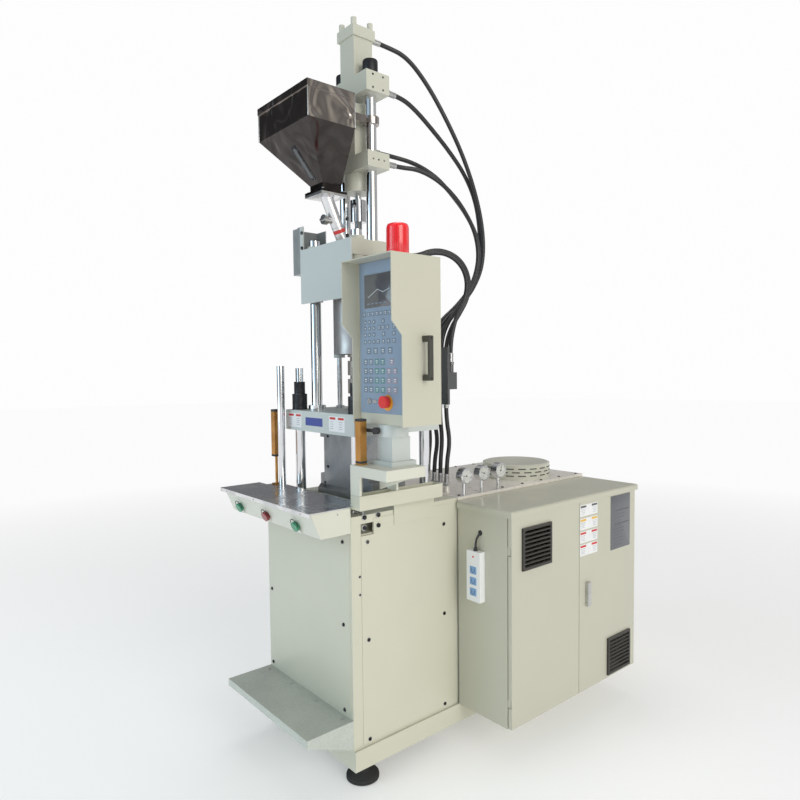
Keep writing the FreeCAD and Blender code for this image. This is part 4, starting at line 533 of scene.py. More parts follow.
@dataclass(frozen=True)
class Sheet(Finish):
    """Rolled or coated sheet with a fine spangle."""

    shade: Color = (0.4, 0.42, 0.4)
    rough: float = 0.34
    metal: float = 0.7
    scale: float = 210.0
    relief: float = 0.00008

    def dress(self, tree: Tree, shader: bpy.types.Node) -> None:
        """Fills in the shader's inputs."""
        facets = tree.group("Spangle", Scale=self.scale).outputs["Mask"]
        clouds = tree.group("Mottle", Scale=5.0, Contrast=1.8)
        dust = tree.group("Dust", Amount=0.35).outputs["Mask"]
        worn = tree.group("EdgeWear", Radius=0.002, Amount=0.8).outputs["Mask"]
        base = tree.blend(tree.math("MULTIPLY", facets, 0.5), self.color, self.shade)
        cloudy = tree.math("MULTIPLY", clouds.outputs["Mask"], 0.45)
        base = tree.blend(cloudy, base, tuple(c * 0.7 for c in self.color))
        base = tree.blend(worn, tree.blend(dust, base, (0.3, 0.29, 0.26)), (0.62, 0.62, 0.6))
        spread = tree.math("MULTIPLY", facets, 0.14)
        clean = tree.math("ADD", spread, self.rough)
        rough = tree.math("ADD", clean, tree.math("MULTIPLY", dust, 0.4), clamp=True)
        bump = tree.node("Bump", {"Height": facets, "Distance": self.relief, "Strength": 0.5})
        connect(tree, shader, Base_Color=base, Roughness=rough, Metallic=self.metal, Normal=bump.outputs[0])


@dataclass(frozen=True)
class Moulded(Finish):
    """Moulded plastic or rubber with a fine texture."""

    rough: float = 0.45
    texture: float = 0.00008
    scale: float = 900.0
    glow: float = 0.0
    coat: float = 0.0
    dirt: float = 0.3
    wear: float = 0.0

    def dress(self, tree: Tree, shader: bpy.types.Node) -> None:
        """Fills in the shader's inputs."""
        clouds = tree.group("Mottle", Scale=16.0, Contrast=1.5)
        dust = tree.group("Dust", Amount=self.dirt).outputs["Mask"]
        lighter = tuple(min(1.0, c * 1.15 + 0.004) for c in self.color)
        base = tree.blend(clouds.outputs["Mask"], self.color, lighter)
        base = tree.blend(dust, base, (0.3, 0.29, 0.27))
        if self.wear:
            worn = tree.group("EdgeWear", Radius=0.0012, Amount=self.wear).outputs["Mask"]
            base = tree.blend(worn, base, tuple(min(1.0, c + 0.1) for c in lighter))
        spread = tree.math("MULTIPLY", clouds.outputs["Mask"], 0.12)
        clean = tree.math("ADD", spread, self.rough)
        rough = tree.math("ADD", clean, tree.math("MULTIPLY", dust, 0.4), clamp=True)
        spot = tree.node("TexCoord").outputs["Object"]
        skin = tree.node("TexNoise", {"Vector": spot, "Scale": self.scale, "Detail": 2.0})
        bump = tree.node("Bump", {"Height": skin.outputs["Fac"], "Distance": self.texture, "Strength": 0.6})
        connect(tree, shader, Base_Color=base, Roughness=rough, Normal=bump.outputs[0])
        connect(tree, shader, Coat_Weight=self.coat, Coat_Roughness=0.08)
        if self.glow:
            connect(tree, shader, Emission_Color=rgba(self.color), Emission_Strength=self.glow)


@dataclass(frozen=True)
class Ground(Finish):
    """Plain seamless paper under the machine."""

    lift: float = 0.3
    near: float = 1.8
    far: float = 7.0
    haze: float = 0.97

    def dress(self, tree: Tree, shader: bpy.types.Node) -> None:
        """Fills in the shader's inputs; far from the machine the paper fades into the backdrop."""
        spot = tree.node("TexCoord").outputs["Object"]
        reach = tree.node("VectorMath", {0: spot}, operation="LENGTH").outputs["Value"]
        share = tree.node("MapRange", {"Value": reach, "From Min": self.near, "From Max": self.far}).outputs[0]
        paper = tree.blend(share, self.color, (0.0, 0.0, 0.0))
        light = tree.blend(share, tuple(c * self.lift for c in self.color), (self.haze,) * 3)
        connect(tree, shader, Base_Color=paper, Roughness=0.9, Specular_IOR_Level=0.0)
        connect(tree, shader, Emission_Color=light, Emission_Strength=1.0)


@dataclass(frozen=True)
class Glass(Finish):
    """Clear cover with faint wipe marks."""

    def dress(self, tree: Tree, shader: bpy.types.Node) -> None:
        """Fills in the shader's inputs."""
        smear = tree.group("Smears", Scale=30.0, Swirl=0.6).outputs["Mask"]
        rough = tree.math("ADD", tree.math("MULTIPLY", smear, 0.05), 0.02)
        connect(tree, shader, Base_Color=rgba(self.color), Roughness=rough, Transmission_Weight=1.0, IOR=1.3)


CREAM = Enamel("cream_enamel", (0.665, 0.655, 0.535), shade=(0.60, 0.60, 0.495))
CREAM_SOFT = Enamel(
    "cream_enamel_castings", (0.62, 0.62, 0.53), shade=(0.53, 0.54, 0.46), wear=0.8, peel=0.0003
)
# Cabinet enamel: the frame's cream paint made darker, a painted shade for the weaker light on the cabinet.
CREAM_PAINTED_SHADE = Enamel("cream_enamel_cabinet_painted_shade", (0.565, 0.557, 0.455), shade=(0.51, 0.51, 0.42))
# Control box enamel: the frame's cream paint made darker, a painted shade for the weaker light on the box.
CREAM_HEAD_PAINTED_SHADE = Enamel("cream_enamel_head_painted_shade", (0.61, 0.60, 0.49), shade=(0.55, 0.55, 0.452))
PALE = Enamel("pale_enamel", (0.71, 0.71, 0.615), shade=(0.65, 0.655, 0.57))
GREY = Enamel("grey_enamel", (0.60, 0.645, 0.63), shade=(0.53, 0.57, 0.555))
SLATE = Enamel("slate_enamel", (0.085, 0.09, 0.095), shade=(0.055, 0.058, 0.06), rough=0.4)
GUARD = SplitEnamel(
    "guard_enamel", (0.60, 0.645, 0.635), shade=(0.54, 0.58, 0.57), other=(0.33, 0.35, 0.35),
    split=at(-187, 0, 0).x,
)
HARD_CHROME = Steel(
    "hard_chrome", (0.80, 0.81, 0.83), shade=(0.66, 0.67, 0.69), rough=0.07, uneven=0.05,
    relief=0.000003, wear=0.0,
)
ROD_CHROME = Steel(
    "rod_chrome", (0.80, 0.81, 0.83), shade=(0.70, 0.71, 0.73), rough=0.1, uneven=0.04,
    grain=(700.0, 700.0, 26.0), relief=0.000002, wear=0.0,
)
# Hopper sheet; its dark lower zone is a painted reflection of a dark floor.
MIRROR = SteelWithPaintedFloorReflection(
    "mirror_sheet", (0.50, 0.46, 0.435), shade=(0.33, 0.30, 0.28), rough=0.045, uneven=0.05, relief=0.000003,
    smear_scale=5.0, dents=0.014, wear=0.0, lower=(0.052, 0.047, 0.045), height=at(0, 0, 2532).z,
)
STAINLESS = Steel(
    "stainless_sheet", (0.84, 0.845, 0.86), shade=(0.58, 0.575, 0.575), rough=0.2, uneven=0.2,
    grain=(18.0, 620.0, 620.0),
)
BRIGHT_STEEL = Steel(
    "bright_steel", (0.66, 0.66, 0.66), shade=(0.48, 0.48, 0.48), rough=0.24, smear_scale=20.0
)
GROUND_STEEL = Steel(
    "ground_steel", (0.38, 0.395, 0.41), shade=(0.26, 0.265, 0.275), rough=0.34, uneven=0.2,
    grain=(24.0, 500.0, 500.0),
)
BARREL_STEEL = Steel(
    "heat_tinted_steel", (0.42, 0.37, 0.33), shade=(0.26, 0.23, 0.22), rough=0.36, uneven=0.22
)
COVER_STEEL = Steel(
    "barrel_cover_steel", (0.44, 0.42, 0.41), shade=(0.33, 0.31, 0.305), rough=0.34, uneven=0.2,
    grain=(60.0, 60.0, 700.0),
)
BLACK_OXIDE = Steel(
    "black_oxide", (0.06, 0.06, 0.065), shade=(0.03, 0.03, 0.032), rough=0.38, uneven=0.25, smear_scale=30.0
)
AMBER = Steel(
    "amber_anodised", (0.64, 0.33, 0.10), shade=(0.44, 0.2, 0.055), rough=0.3, grain=(500.0, 500.0, 20.0)
)
STEP_SHEET = Sheet("step_sheet", (0.66, 0.70, 0.645), shade=(0.49, 0.52, 0.475), rough=0.36, metal=0.4)
COVER_SHEET = Sheet(
    "cover_sheet", (0.95, 0.90, 0.84), shade=(0.86, 0.81, 0.76), rough=0.2, metal=0.1, scale=45.0,
    relief=0.00003,
)
RUBBER = Moulded("black_rubber", (0.012, 0.012, 0.013), rough=0.62, texture=0.0002, dirt=0.5, wear=0.3)
HOSE_RUBBER = Moulded(
    "hose_rubber", (0.016, 0.016, 0.018), rough=0.34, texture=0.00025, scale=520.0, dirt=0.25
)
BLACK = Moulded("black_plastic", (0.02, 0.02, 0.022), rough=0.42, wear=0.3)
GRILLE = Moulded("grille_plastic", (0.035, 0.032, 0.028), rough=0.5, dirt=0.6)
HANDLE = Moulded("handle_plastic", (0.052, 0.05, 0.04), rough=0.5, dirt=0.4, wear=0.3)
WHITE = Moulded("white_plastic", (0.80, 0.81, 0.83), rough=0.3, coat=0.2, dirt=0.15, wear=0.3)
RED = Moulded("red_plastic", (0.62, 0.016, 0.014), rough=0.24, coat=0.6, dirt=0.1)
GREEN = Moulded("green_plastic", (0.006, 0.034, 0.024), rough=0.22, coat=0.6, dirt=0.04)
BUTTON_RED = Moulded("button_red_plastic", (0.26, 0.006, 0.012), rough=0.22, coat=0.6, dirt=0.04)
LENS = Moulded("beacon_lens", (0.76, 0.004, 0.012), rough=0.12, texture=0.0, coat=1.0, glow=0.22, dirt=0.05)
LENS_RIBS = Moulded("beacon_core", (0.50, 0.006, 0.012), rough=0.3, coat=0.6, glow=0.12, dirt=0.05)
FILM = Moulded("keypad_film", (0.235, 0.305, 0.40), rough=0.36, texture=0.00003, dirt=0.08)
FILM_EDGE = Moulded("keypad_frame", (0.22, 0.28, 0.36), rough=0.4, texture=0.00003, dirt=0.08)
KEY = Moulded("keypad_keys", (0.17, 0.215, 0.27), rough=0.42, texture=0.00003, dirt=0.05)
KEY_MARK = Moulded("keypad_marks", (0.62, 0.66, 0.70), rough=0.4, texture=0.0, dirt=0.05)
KEY_TEAL = Moulded("keypad_teal_keys", (0.12, 0.25, 0.25), rough=0.42, texture=0.00003, dirt=0.05)
KEY_MAUVE = Moulded("keypad_mauve_keys", (0.30, 0.27, 0.33), rough=0.42, texture=0.00003, dirt=0.05)
SCREEN = Moulded("screen_glass", (0.10, 0.10, 0.11), rough=0.12, texture=0.0, coat=0.8, dirt=0.05)
YELLOW = Moulded("stop_ring_plastic", (0.80, 0.36, 0.03), rough=0.35, coat=0.2, dirt=0.1)
SOCKET_BLUE = Moulded("socket_blue", (0.20, 0.36, 0.62), rough=0.4, texture=0.00003, dirt=0.05)
DIAL = Moulded("dial_white", (0.82, 0.82, 0.79), rough=0.45, texture=0.0, dirt=0.0)
PRINT_PALE = Moulded("label_pale", (0.78, 0.79, 0.80), rough=0.32, texture=0.0, dirt=0.1)
PRINT_LINES = Moulded("label_grey", (0.40, 0.42, 0.45), rough=0.4, texture=0.0, dirt=0.05)
PRINT_BLUE = Moulded("label_blue", (0.045, 0.07, 0.30), rough=0.35, texture=0.0, dirt=0.05)
PRINT_RED = Moulded("label_red", (0.58, 0.035, 0.03), rough=0.35, texture=0.0, dirt=0.05)
PRINT_YELLOW = Moulded("label_yellow", (0.74, 0.44, 0.03), rough=0.35, texture=0.0, dirt=0.05)
PLATE_DARK = Moulded("dark_plate", (0.12, 0.125, 0.14), rough=0.28, texture=0.00004, coat=0.3, dirt=0.15)
CLEAR = Glass("gauge_glass", (0.97, 0.98, 0.98))


# -------------------------------------------------------------- mesh shapes


def smooth_normals(shape: bmesh.types.BMesh) -> bmesh.types.BMesh:
    """Merges doubles and turns every face outwards."""
    bmesh.ops.remove_doubles(shape, verts=shape.verts, dist=1e-5)
    bmesh.ops.recalc_face_normals(shape, faces=shape.faces)
    return shape


def block(wide: float, tall: float, thick: float, edge: float = 0.0, segments: int = 2) -> bmesh.types.BMesh:
    """Block standing on its own plane, in millimetres.

    Args:
        wide: Size along its own X.
        tall: Size along its own Y.
        thick: Size along its own Z, from zero up.
        edge: Rounding of every edge.
        segments: Facets in the rounding.

    Returns:
        The shape.
    """
    shape = bmesh.new()
    bmesh.ops.create_cube(shape, size=1.0)
    bmesh.ops.scale(shape, vec=(wide, tall, thick), verts=shape.verts)
    bmesh.ops.translate(shape, vec=(0.0, 0.0, thick / 2), verts=shape.verts)
    if edge:
        bmesh.ops.bevel(
            shape, geom=shape.edges[:], offset=edge, segments=segments, profile=0.5, affect="EDGES",
            material=-1
        )
    return shape


def pad(wide: float, tall: float, thick: float, corner: float, edge: float = 0.0) -> bmesh.types.BMesh:
    """Flat pad with round corners and a softened face.

    Args:
        wide: Size along its own X.
        tall: Size along its own Y.
        thick: Thickness.
        corner: Radius of the four corners.
        edge: Rounding of the front face's rim.

    Returns:
        The shape.
    """
    shape = block(wide, tall, thick)
    posts = [e for e in shape.edges if abs(e.verts[0].co.z - e.verts[1].co.z) > thick / 2]
    bmesh.ops.bevel(shape, geom=posts, offset=corner, segments=4, profile=0.5, affect="EDGES", material=-1)
    if edge:
        rim = [e for e in shape.edges if all(abs(v.co.z - thick) < 1e-6 for v in e.verts)]
        bmesh.ops.bevel(shape, geom=rim, offset=edge, segments=2, profile=0.5, affect="EDGES", material=-1)
    return shape


def disc(
    radius: float, thick: float, top: float | None = None, sides: int = 32, edge: float = 0.0
) -> bmesh.types.BMesh:
    """Disc, cone or prism standing on its own plane.

    Args:
        radius: Radius at the base.
        thick: Height along its own Z.
        top: Radius at the top, if it differs.
        sides: Number of sides; six makes a hexagon.
        edge: Rounding of the top rim.

    Returns:
        The shape.
    """
    shape = bmesh.new()
    bmesh.ops.create_cone(
        shape, cap_ends=True, segments=sides, radius1=radius, radius2=radius if top is None else top,
        depth=thick
    )
    bmesh.ops.translate(shape, vec=(0.0, 0.0, thick / 2), verts=shape.verts)
    if edge:
        rim = [e for e in shape.edges if all(abs(v.co.z - thick) < 1e-6 for v in e.verts)]
        bmesh.ops.bevel(shape, geom=rim, offset=edge, segments=2, profile=0.5, affect="EDGES", material=-1)
    return shape


def turned(profile: Sequence[tuple[float, float]], sides: int = 32) -> bmesh.types.BMesh:
    """Shape turned round its own Z from a closed or pole-to-pole profile.

    Args:
        profile: Radius and height of each point.
        sides: Steps round the axis.

    Returns:
        The shape.
    """
    shape = bmesh.new()
    points = [shape.verts.new((radius, 0.0, height)) for radius, height in profile]
    lines = [shape.edges.new(pair) for pair in zip(points, points[1:])]
    bmesh.ops.spin(
        shape,
        geom=points + lines,
        cent=(0.0, 0.0, 0.0),
        axis=(0.0, 0.0, 1.0),
        angle=math.tau,
        steps=sides,
        use_merge=True,
    )
    return smooth_normals(shape)


def ring(inner: float, outer: float, thick: float, edge: float = 0.6, sides: int = 40) -> bmesh.types.BMesh:
    """Flat ring with a softened rim, standing on its own plane."""
    profile = [
        (inner, 0.0),
        (outer, 0.0),
        (outer, thick - edge),
        (outer - edge, thick),
        (inner + edge, thick),
        (inner, thick - edge),
        (inner, 0.0),
    ]
    return turned(profile, sides)


def screw_head(radius: float, tall: float) -> bmesh.types.BMesh:
    """Round screw head with a socket in it."""
    socket, depth = radius * 0.46, tall * 0.55
    return turned(
        [
            (0.0, tall - depth),
            (socket, tall - depth),
            (socket, tall - 0.15),
            (socket + 0.3, tall),
            (radius * 0.82, tall),
            (radius, tall * 0.62),
            (radius, 0.0),
            (0.0, 0.0),
        ],
        20,
    )


class Stock:
    """A mesh put together from shapes, each with one of the piece's finishes."""

    def __init__(self) -> None:
        """Starts an empty piece."""
        self.mesh = bmesh.new()

    def add(self, shape: bmesh.types.BMesh, place: Matrix, finish: int = 0) -> "Stock":
        """Joins a shape to the piece.

        Args:
            shape: The shape, which is used up.
            place: Where it goes.
            finish: Which of the piece's finishes it has.

        Returns:
            The stock itself.
        """
        bmesh.ops.transform(shape, matrix=place, verts=shape.verts)
        for face in shape.faces:
            face.material_index, face.smooth = finish, True
        for edge in shape.edges:
            edge.smooth = not edge.is_manifold or edge.calc_face_angle() < SHARP_ANGLE
        scratch = bpy.data.meshes.new("scratch")
        shape.to_mesh(scratch)
        shape.free()
        self.mesh.from_mesh(scratch)
        bpy.data.meshes.remove(scratch)
        return self

    def piece(
        self, name: str, finishes: Sequence[Finish], body: Body, slot: str, stands_for: Sequence[str] = ()
    ) -> bpy.types.Object:
        """Ends the piece and lets it ride on its body.

        Args:
            name: The piece's name.
            finishes: Its finishes, in the order that the shapes count them.
            body: What it moves with.
            slot: Name of a material slot; not used.
            stands_for: Frame nodes that it replaces.

        Returns:
            The object.
        """
        data = bpy.data.meshes.new(name)
        self.mesh.to_mesh(data)
        self.mesh.free()
        for finish in finishes:
            data.materials.append(finish.material())
        made = bpy.data.objects.new(name, data)
        bpy.context.scene.collection.objects.link(made)
        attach(made, body.value)
        if stands_for:
            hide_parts(*stands_for)
        LOG.info("%s: %d faces", name, len(data.polygons))
        return made


# --------------------------------------------------------- camera and studio


@dataclass
class Studio:
    """Camera, lights, backdrop and floor."""

    lens: float = 29.32
    sensor: float = 36.0
    eye: Spot = (2.1443, -2.0335, 1.6)
    azimuth: float = 49.957
    pitch: float = 2.79
    roll: float = -0.591
    floor_radius: float = 30.0

    def camera(self) -> None:
        """Sets up the scene's camera at standing eye height, off the machine's front right corner."""
        data = bpy.data.cameras.new("camera")
        data.lens, data.sensor_width = self.lens, self.sensor
        camera = bpy.data.objects.new("camera", data)
        bpy.context.scene.collection.objects.link(camera)
        azimuth, pitch, roll = (math.radians(v) for v in (self.azimuth, self.pitch, self.roll))
        forward = Vector((-math.sin(azimuth), math.cos(azimuth), 0.0)) * math.cos(pitch)
        forward.z = -math.sin(pitch)
        right = forward.cross(Vector((0.0, 0.0, 1.0))).normalized()
        up = right.cross(forward)
        right, up = (
            right * math.cos(roll) + up * math.sin(roll),
            up * math.cos(roll) - right * math.sin(roll),
        )
        turn = Matrix([right, up, -forward]).transposed().to_4x4()
        camera.matrix_world = Matrix.Translation(Vector(self.eye)) @ turn
        bpy.context.scene.camera = camera

    def lights(self) -> None:
        """Adds soft boxes on the right, in front and above."""
        for name, place, aim, size, power, color in (
            ("key_box", (7.8, -1.1, 3.6), (0.1, 0.0, 1.4), (4.4, 4.4), 225.0, (1.0, 0.985, 0.94)),
            ("front_box", (-1.8, -5.6, 2.6), (0.0, 0.0, 1.5), (3.0, 3.4), 80.0, (0.69, 0.89, 1.0)),
            ("top_box", (-0.5, 0.2, 6.6), (0.0, 0.0, 0.5), (3.0, 3.0), 60.0, (1.0, 1.0, 1.0)),
        ):
            data = bpy.data.lights.new(name, "AREA")
            data.shape, data.size, data.size_y = "RECTANGLE", *size
            data.energy, data.color = power, color
            lamp = bpy.data.objects.new(name, data)
            bpy.context.scene.collection.objects.link(lamp)
            lamp.location = place
            lamp.rotation_euler = (Vector(place) - Vector(aim)).to_track_quat("Z", "Y").to_euler()

    def surround(self) -> None:
        """Builds the surroundings: bright walls with darker bays between them, and a plain pale backdrop."""
        world = bpy.data.worlds.new("studio")
        bpy.context.scene.world = world
        world.use_nodes = True
        world.node_tree.nodes.clear()
        tree = Tree(world.node_tree)
        direction = tree.node("SeparateXYZ", {0: tree.node("TexCoord").outputs["Generated"]})
        turn = tree.math("ARCTAN2", direction.outputs["Y"], direction.outputs["X"])
        share = tree.math("ADD", tree.math("DIVIDE", turn, math.tau), 0.5)
        walls = tree.node("ValToRGB", {0: share})
        ramp = walls.color_ramp
        for position, color in (
            (0.0, (0.16, 0.165, 0.17)),
            (0.08, (0.05, 0.05, 0.052)),
            (0.125, (0.06, 0.062, 0.065)),
            (0.175, (0.44, 0.55, 0.66)),
            (0.27, (0.56, 0.76, 0.92)),
            (0.335, (0.30, 0.33, 0.35)),
            (0.38, (0.26, 0.27, 0.28)),
            (0.43, (1.0, 0.98, 0.9)),
            (0.55, (1.05, 1.02, 0.92)),
            (0.60, (0.32, 0.31, 0.30)),
            (0.70, (0.75, 0.75, 0.74)),
            (0.82, (0.55, 0.56, 0.57)),
            (0.88, (0.2, 0.2, 0.21)),
        ):
            stop = ramp.elements.new(position) if position else ramp.elements[0]
            stop.color = rgba(color)
        ramp.elements[-1].color = rgba((0.20, 0.21, 0.22))
        height = tree.math("ABSOLUTE", direction.outputs["Z"])
        ceiling = tree.node("MapRange", {"Value": height, "From Min": 0.45, "From Max": 0.85}).outputs[0]
        dome = tree.blend(ceiling, walls.outputs[0], (0.62, 0.62, 0.61))
        lit = tree.node("Background", {"Color": dome, "Strength": 0.82})
        plain = tree.node("Background", {"Color": rgba((0.985, 0.985, 0.985)), "Strength": 1.0})
        seen = tree.node("LightPath").outputs["Is Camera Ray"]
        both = tree.node("MixShader", {0: seen, 1: lit.outputs[0], 2: plain.outputs[0]})
        tree.node("OutputWorld", {"Surface": both.outputs[0]})

    def floor(self) -> None:
        """Lays a plain pale floor."""
        shape = bmesh.new()
        bmesh.ops.create_circle(shape, cap_ends=True, segments=64, radius=self.floor_radius)
        data = bpy.data.meshes.new("floor")
        shape.to_mesh(data)
        shape.free()
        data.materials.append(Ground("studio_floor", (0.82, 0.82, 0.82)).material())
        floor = bpy.data.objects.new("floor", data)
        bpy.context.scene.collection.objects.link(floor)
        floor.location.z = -0.0005
        floor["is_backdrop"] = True

    def build(self) -> None:
        """Sets up everything but the camera."""
        self.lights()
        self.surround()
        self.floor()
        view = bpy.context.scene.view_settings
        view.view_transform, view.look, view.exposure = "Standard", "None", 0.0


# --------------------------------------------------------------------- hoses


@dataclass
class Hose:
    """One hydraulic hose: its route in millimetres and its length in metres."""

    name: str
    route: Sequence[Spot]
    length: float
    radius: float = 9.5

    def curve(self) -> bpy.types.Object:
        """Smooth centre line with the route's points as control points."""
        data = bpy.data.curves.new(self.name + "_line", "CURVE")
        data.dimensions = "3D"
        data.resolution_u = 12
        spline = data.splines.new("NURBS")
        spline.points.add(len(self.route) - 1)
        for point, spot in zip(spline.points, self.route):
            point.co = (*at(*spot), 1.0)
        spline.order_u = 3
        spline.use_endpoint_u = True
        line = bpy.data.objects.new(self.name + "_line", data)
        bpy.context.scene.collection.objects.link(line)
        return line

    def build(self) -> tuple[bpy.types.Object, list[Vector]]:
        """Makes the hose's tube.

        Returns:
            The tube, which rides on nothing yet, and the points that it follows.
        """
        line = self.curve()
        bpy.context.view_layer.update()
        centre = bpy.data.meshes.new_from_object(line)
        path = [vertex.co.copy() for vertex in centre.vertices]
        line.data.bevel_depth = self.radius * MILLIMETRE
        line.data.bevel_resolution = 5
        line.data.use_fill_caps = True
        bpy.context.view_layer.update()
        skin = bpy.data.meshes.new_from_object(line)
        bpy.data.objects.remove(line)
        bpy.data.meshes.remove(centre)
        skin.materials.clear()
        skin.materials.append(HOSE_RUBBER.material())
        for face in skin.polygons:
            face.use_smooth = True
        tube = bpy.data.objects.new(self.name, skin)
        bpy.context.scene.collection.objects.link(tube)
        return tube, path

    def ferrule(self, stock: Stock, path: Sequence[Vector]) -> None:
        """Adds the crimped sleeve and the union nut at the start of a path.

        Args:
            stock: What they are added to.
            path: The hose's line, from this end on.
        """
        place = along(path[0], path[6] - path[0])
        grip = self.radius + 2.6
        profile = [(self.radius - 1.0, 0.0), (grip, 0.0)]
        for step in range(6):
            low = 3.0 + step * 5.0
            profile += [(grip, low), (grip - 1.3, low + 1.0), (grip - 1.3, low + 2.4), (grip, low + 3.4)]
        profile += [(grip, 36.0), (self.radius + 0.8, 38.0)]
        profile += [(self.radius - 1.0, 38.0), (self.radius - 1.0, 0.0)]
        stock.add(turned(profile, 28), place, 0)
        swivel = place @ Matrix.Translation((0, 0, -13.0))
        stock.add(disc(self.radius + 6.2, 12.0, sides=6, edge=0.8), swivel, 0)


UPPER_HOSES = (
    Hose(
        "upper_hose_1",
        (
            (120, 360.5, 2745), (120, 432, 2745), (120, 515, 2712), (119, 615, 2650),
            (108, 725, 2586), (97, 842, 2500), (86, 925, 2390), (75, 965, 2250), (75, 958, 2100),
            (75, 893, 1975), (75, 798, 1886), (75, 693, 1814), (75, 612, 1716), (75, 612, 1626),
        ),
        1.59,
    ),
    Hose(
        "upper_hose_2",
        (
            (20, 358.5, 2994), (20, 430, 2994), (58, 516, 2963), (96, 602, 2858), (122, 700, 2712),
            (127, 805, 2562), (116, 900, 2400), (105, 957, 2240), (105, 952, 2090),
            (105, 885, 1972), (105, 790, 1885), (105, 689, 1813), (105, 612, 1720),
            (105, 612, 1626),
        ),
        1.77,
    ),
    Hose(
        "upper_hose_3",
        (
            (20, 351.5, 2530), (20, 418, 2530), (25, 482, 2528), (58, 536, 2512), (96, 584, 2482),
            (127, 640, 2440), (134, 714, 2384), (135, 802, 2314), (135, 880, 2220),
            (135, 898, 2110), (135, 858, 2002), (135, 790, 1912), (135, 716, 1836),
            (135, 650, 1768), (135, 612, 1698), (135, 612, 1626),
        ),
        1.35,
    ),
    Hose(
        "upper_hose_4",
        (
            (120, 357.5, 2452), (120, 426, 2452), (153, 495, 2450), (182, 580, 2416),
            (191, 670, 2362), (178, 760, 2300), (165, 838, 2220), (165, 860, 2118),
            (165, 834, 2018), (165, 775, 1935), (165, 706, 1858), (165, 640, 1782),
            (165, 612, 1702), (165, 612, 1626),
        ),
        1.233,
    ),
    Hose(
        "upper_hose_5",
        (
            (135, 414, 2082), (135, 466, 2082), (137, 520, 2094), (153, 564, 2113),
            (175, 616, 2116), (196, 676, 2096), (208, 725, 2050), (208, 752, 1985),
            (200, 748, 1912), (189, 704, 1839), (195, 646, 1778), (195, 612, 1700),
            (195, 612, 1626),
        ),
        0.814,
    ),
    Hose(
        "upper_hose_6",
        (
            (170, 414, 2070), (170, 464, 2070), (172, 515, 2086), (187, 558, 2099),
            (206, 609, 2096), (223, 658, 2070), (233, 694, 2025), (234, 710, 1966),
            (227, 700, 1899), (225, 656, 1838), (225, 628, 1770), (225, 612, 1696),
            (225, 612, 1626),
        ),
        0.74,
    ),
)
LOWER_HOSES = (
    Hose(
        "lower_hose_1",
        ((75, 612, 1460), (75, 612, 1380), (71, 632, 1276), (75, 612, 1174), (75, 612, 1090)),
        0.372,
    ),
    Hose(
        "lower_hose_2",
        ((115, 612, 1460), (115, 612, 1372), (118, 634, 1270), (115, 612, 1170), (115, 612, 1090)),
        0.373,
    ),
    Hose(
        "lower_hose_3",
        ((155, 612, 1460), (155, 612, 1384), (151, 630, 1278), (155, 612, 1178), (155, 612, 1090)),
        0.372,
    ),
    Hose(
        "lower_hose_4",
        ((195, 612, 1460), (195, 612, 1376), (197, 633, 1272), (195, 612, 1172), (195, 612, 1090)),
        0.373,
    ),
)


@dataclass
class HoseSet:
    """Hoses of one run, with the sleeves at their two ends."""

    hoses: Sequence[Hose]
    node: str
    start_body: Body
    end_body: Body
    blend_low: float
    blend_margin: float = 40.0
    blend_high: float = 2380.0

    def build(self) -> None:
        starts, ends = Stock(), Stock()
        for hose in self.hoses:
            tube, path = hose.build()
            hose.ferrule(starts, path)
            hose.ferrule(ends, path[::-1])
            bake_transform(tube)
            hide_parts(self.node)
            LOG.info("%s: %.0f mm", hose.name, hose.length / MILLIMETRE)
        starts.piece(self.node + "_start_sleeves", [BRIGHT_STEEL], self.start_body, "chrome")
        ends.piece(self.node + "_end_sleeves", [BRIGHT_STEEL], self.end_body, "chrome")


# ------------------------------------------------------------ frame dressing


@dataclass(frozen=True)
class Dress:
    """Finish of one frame node, and the rounding of its edges in millimetres."""

    finish: Finish
    edge: float = 0.0


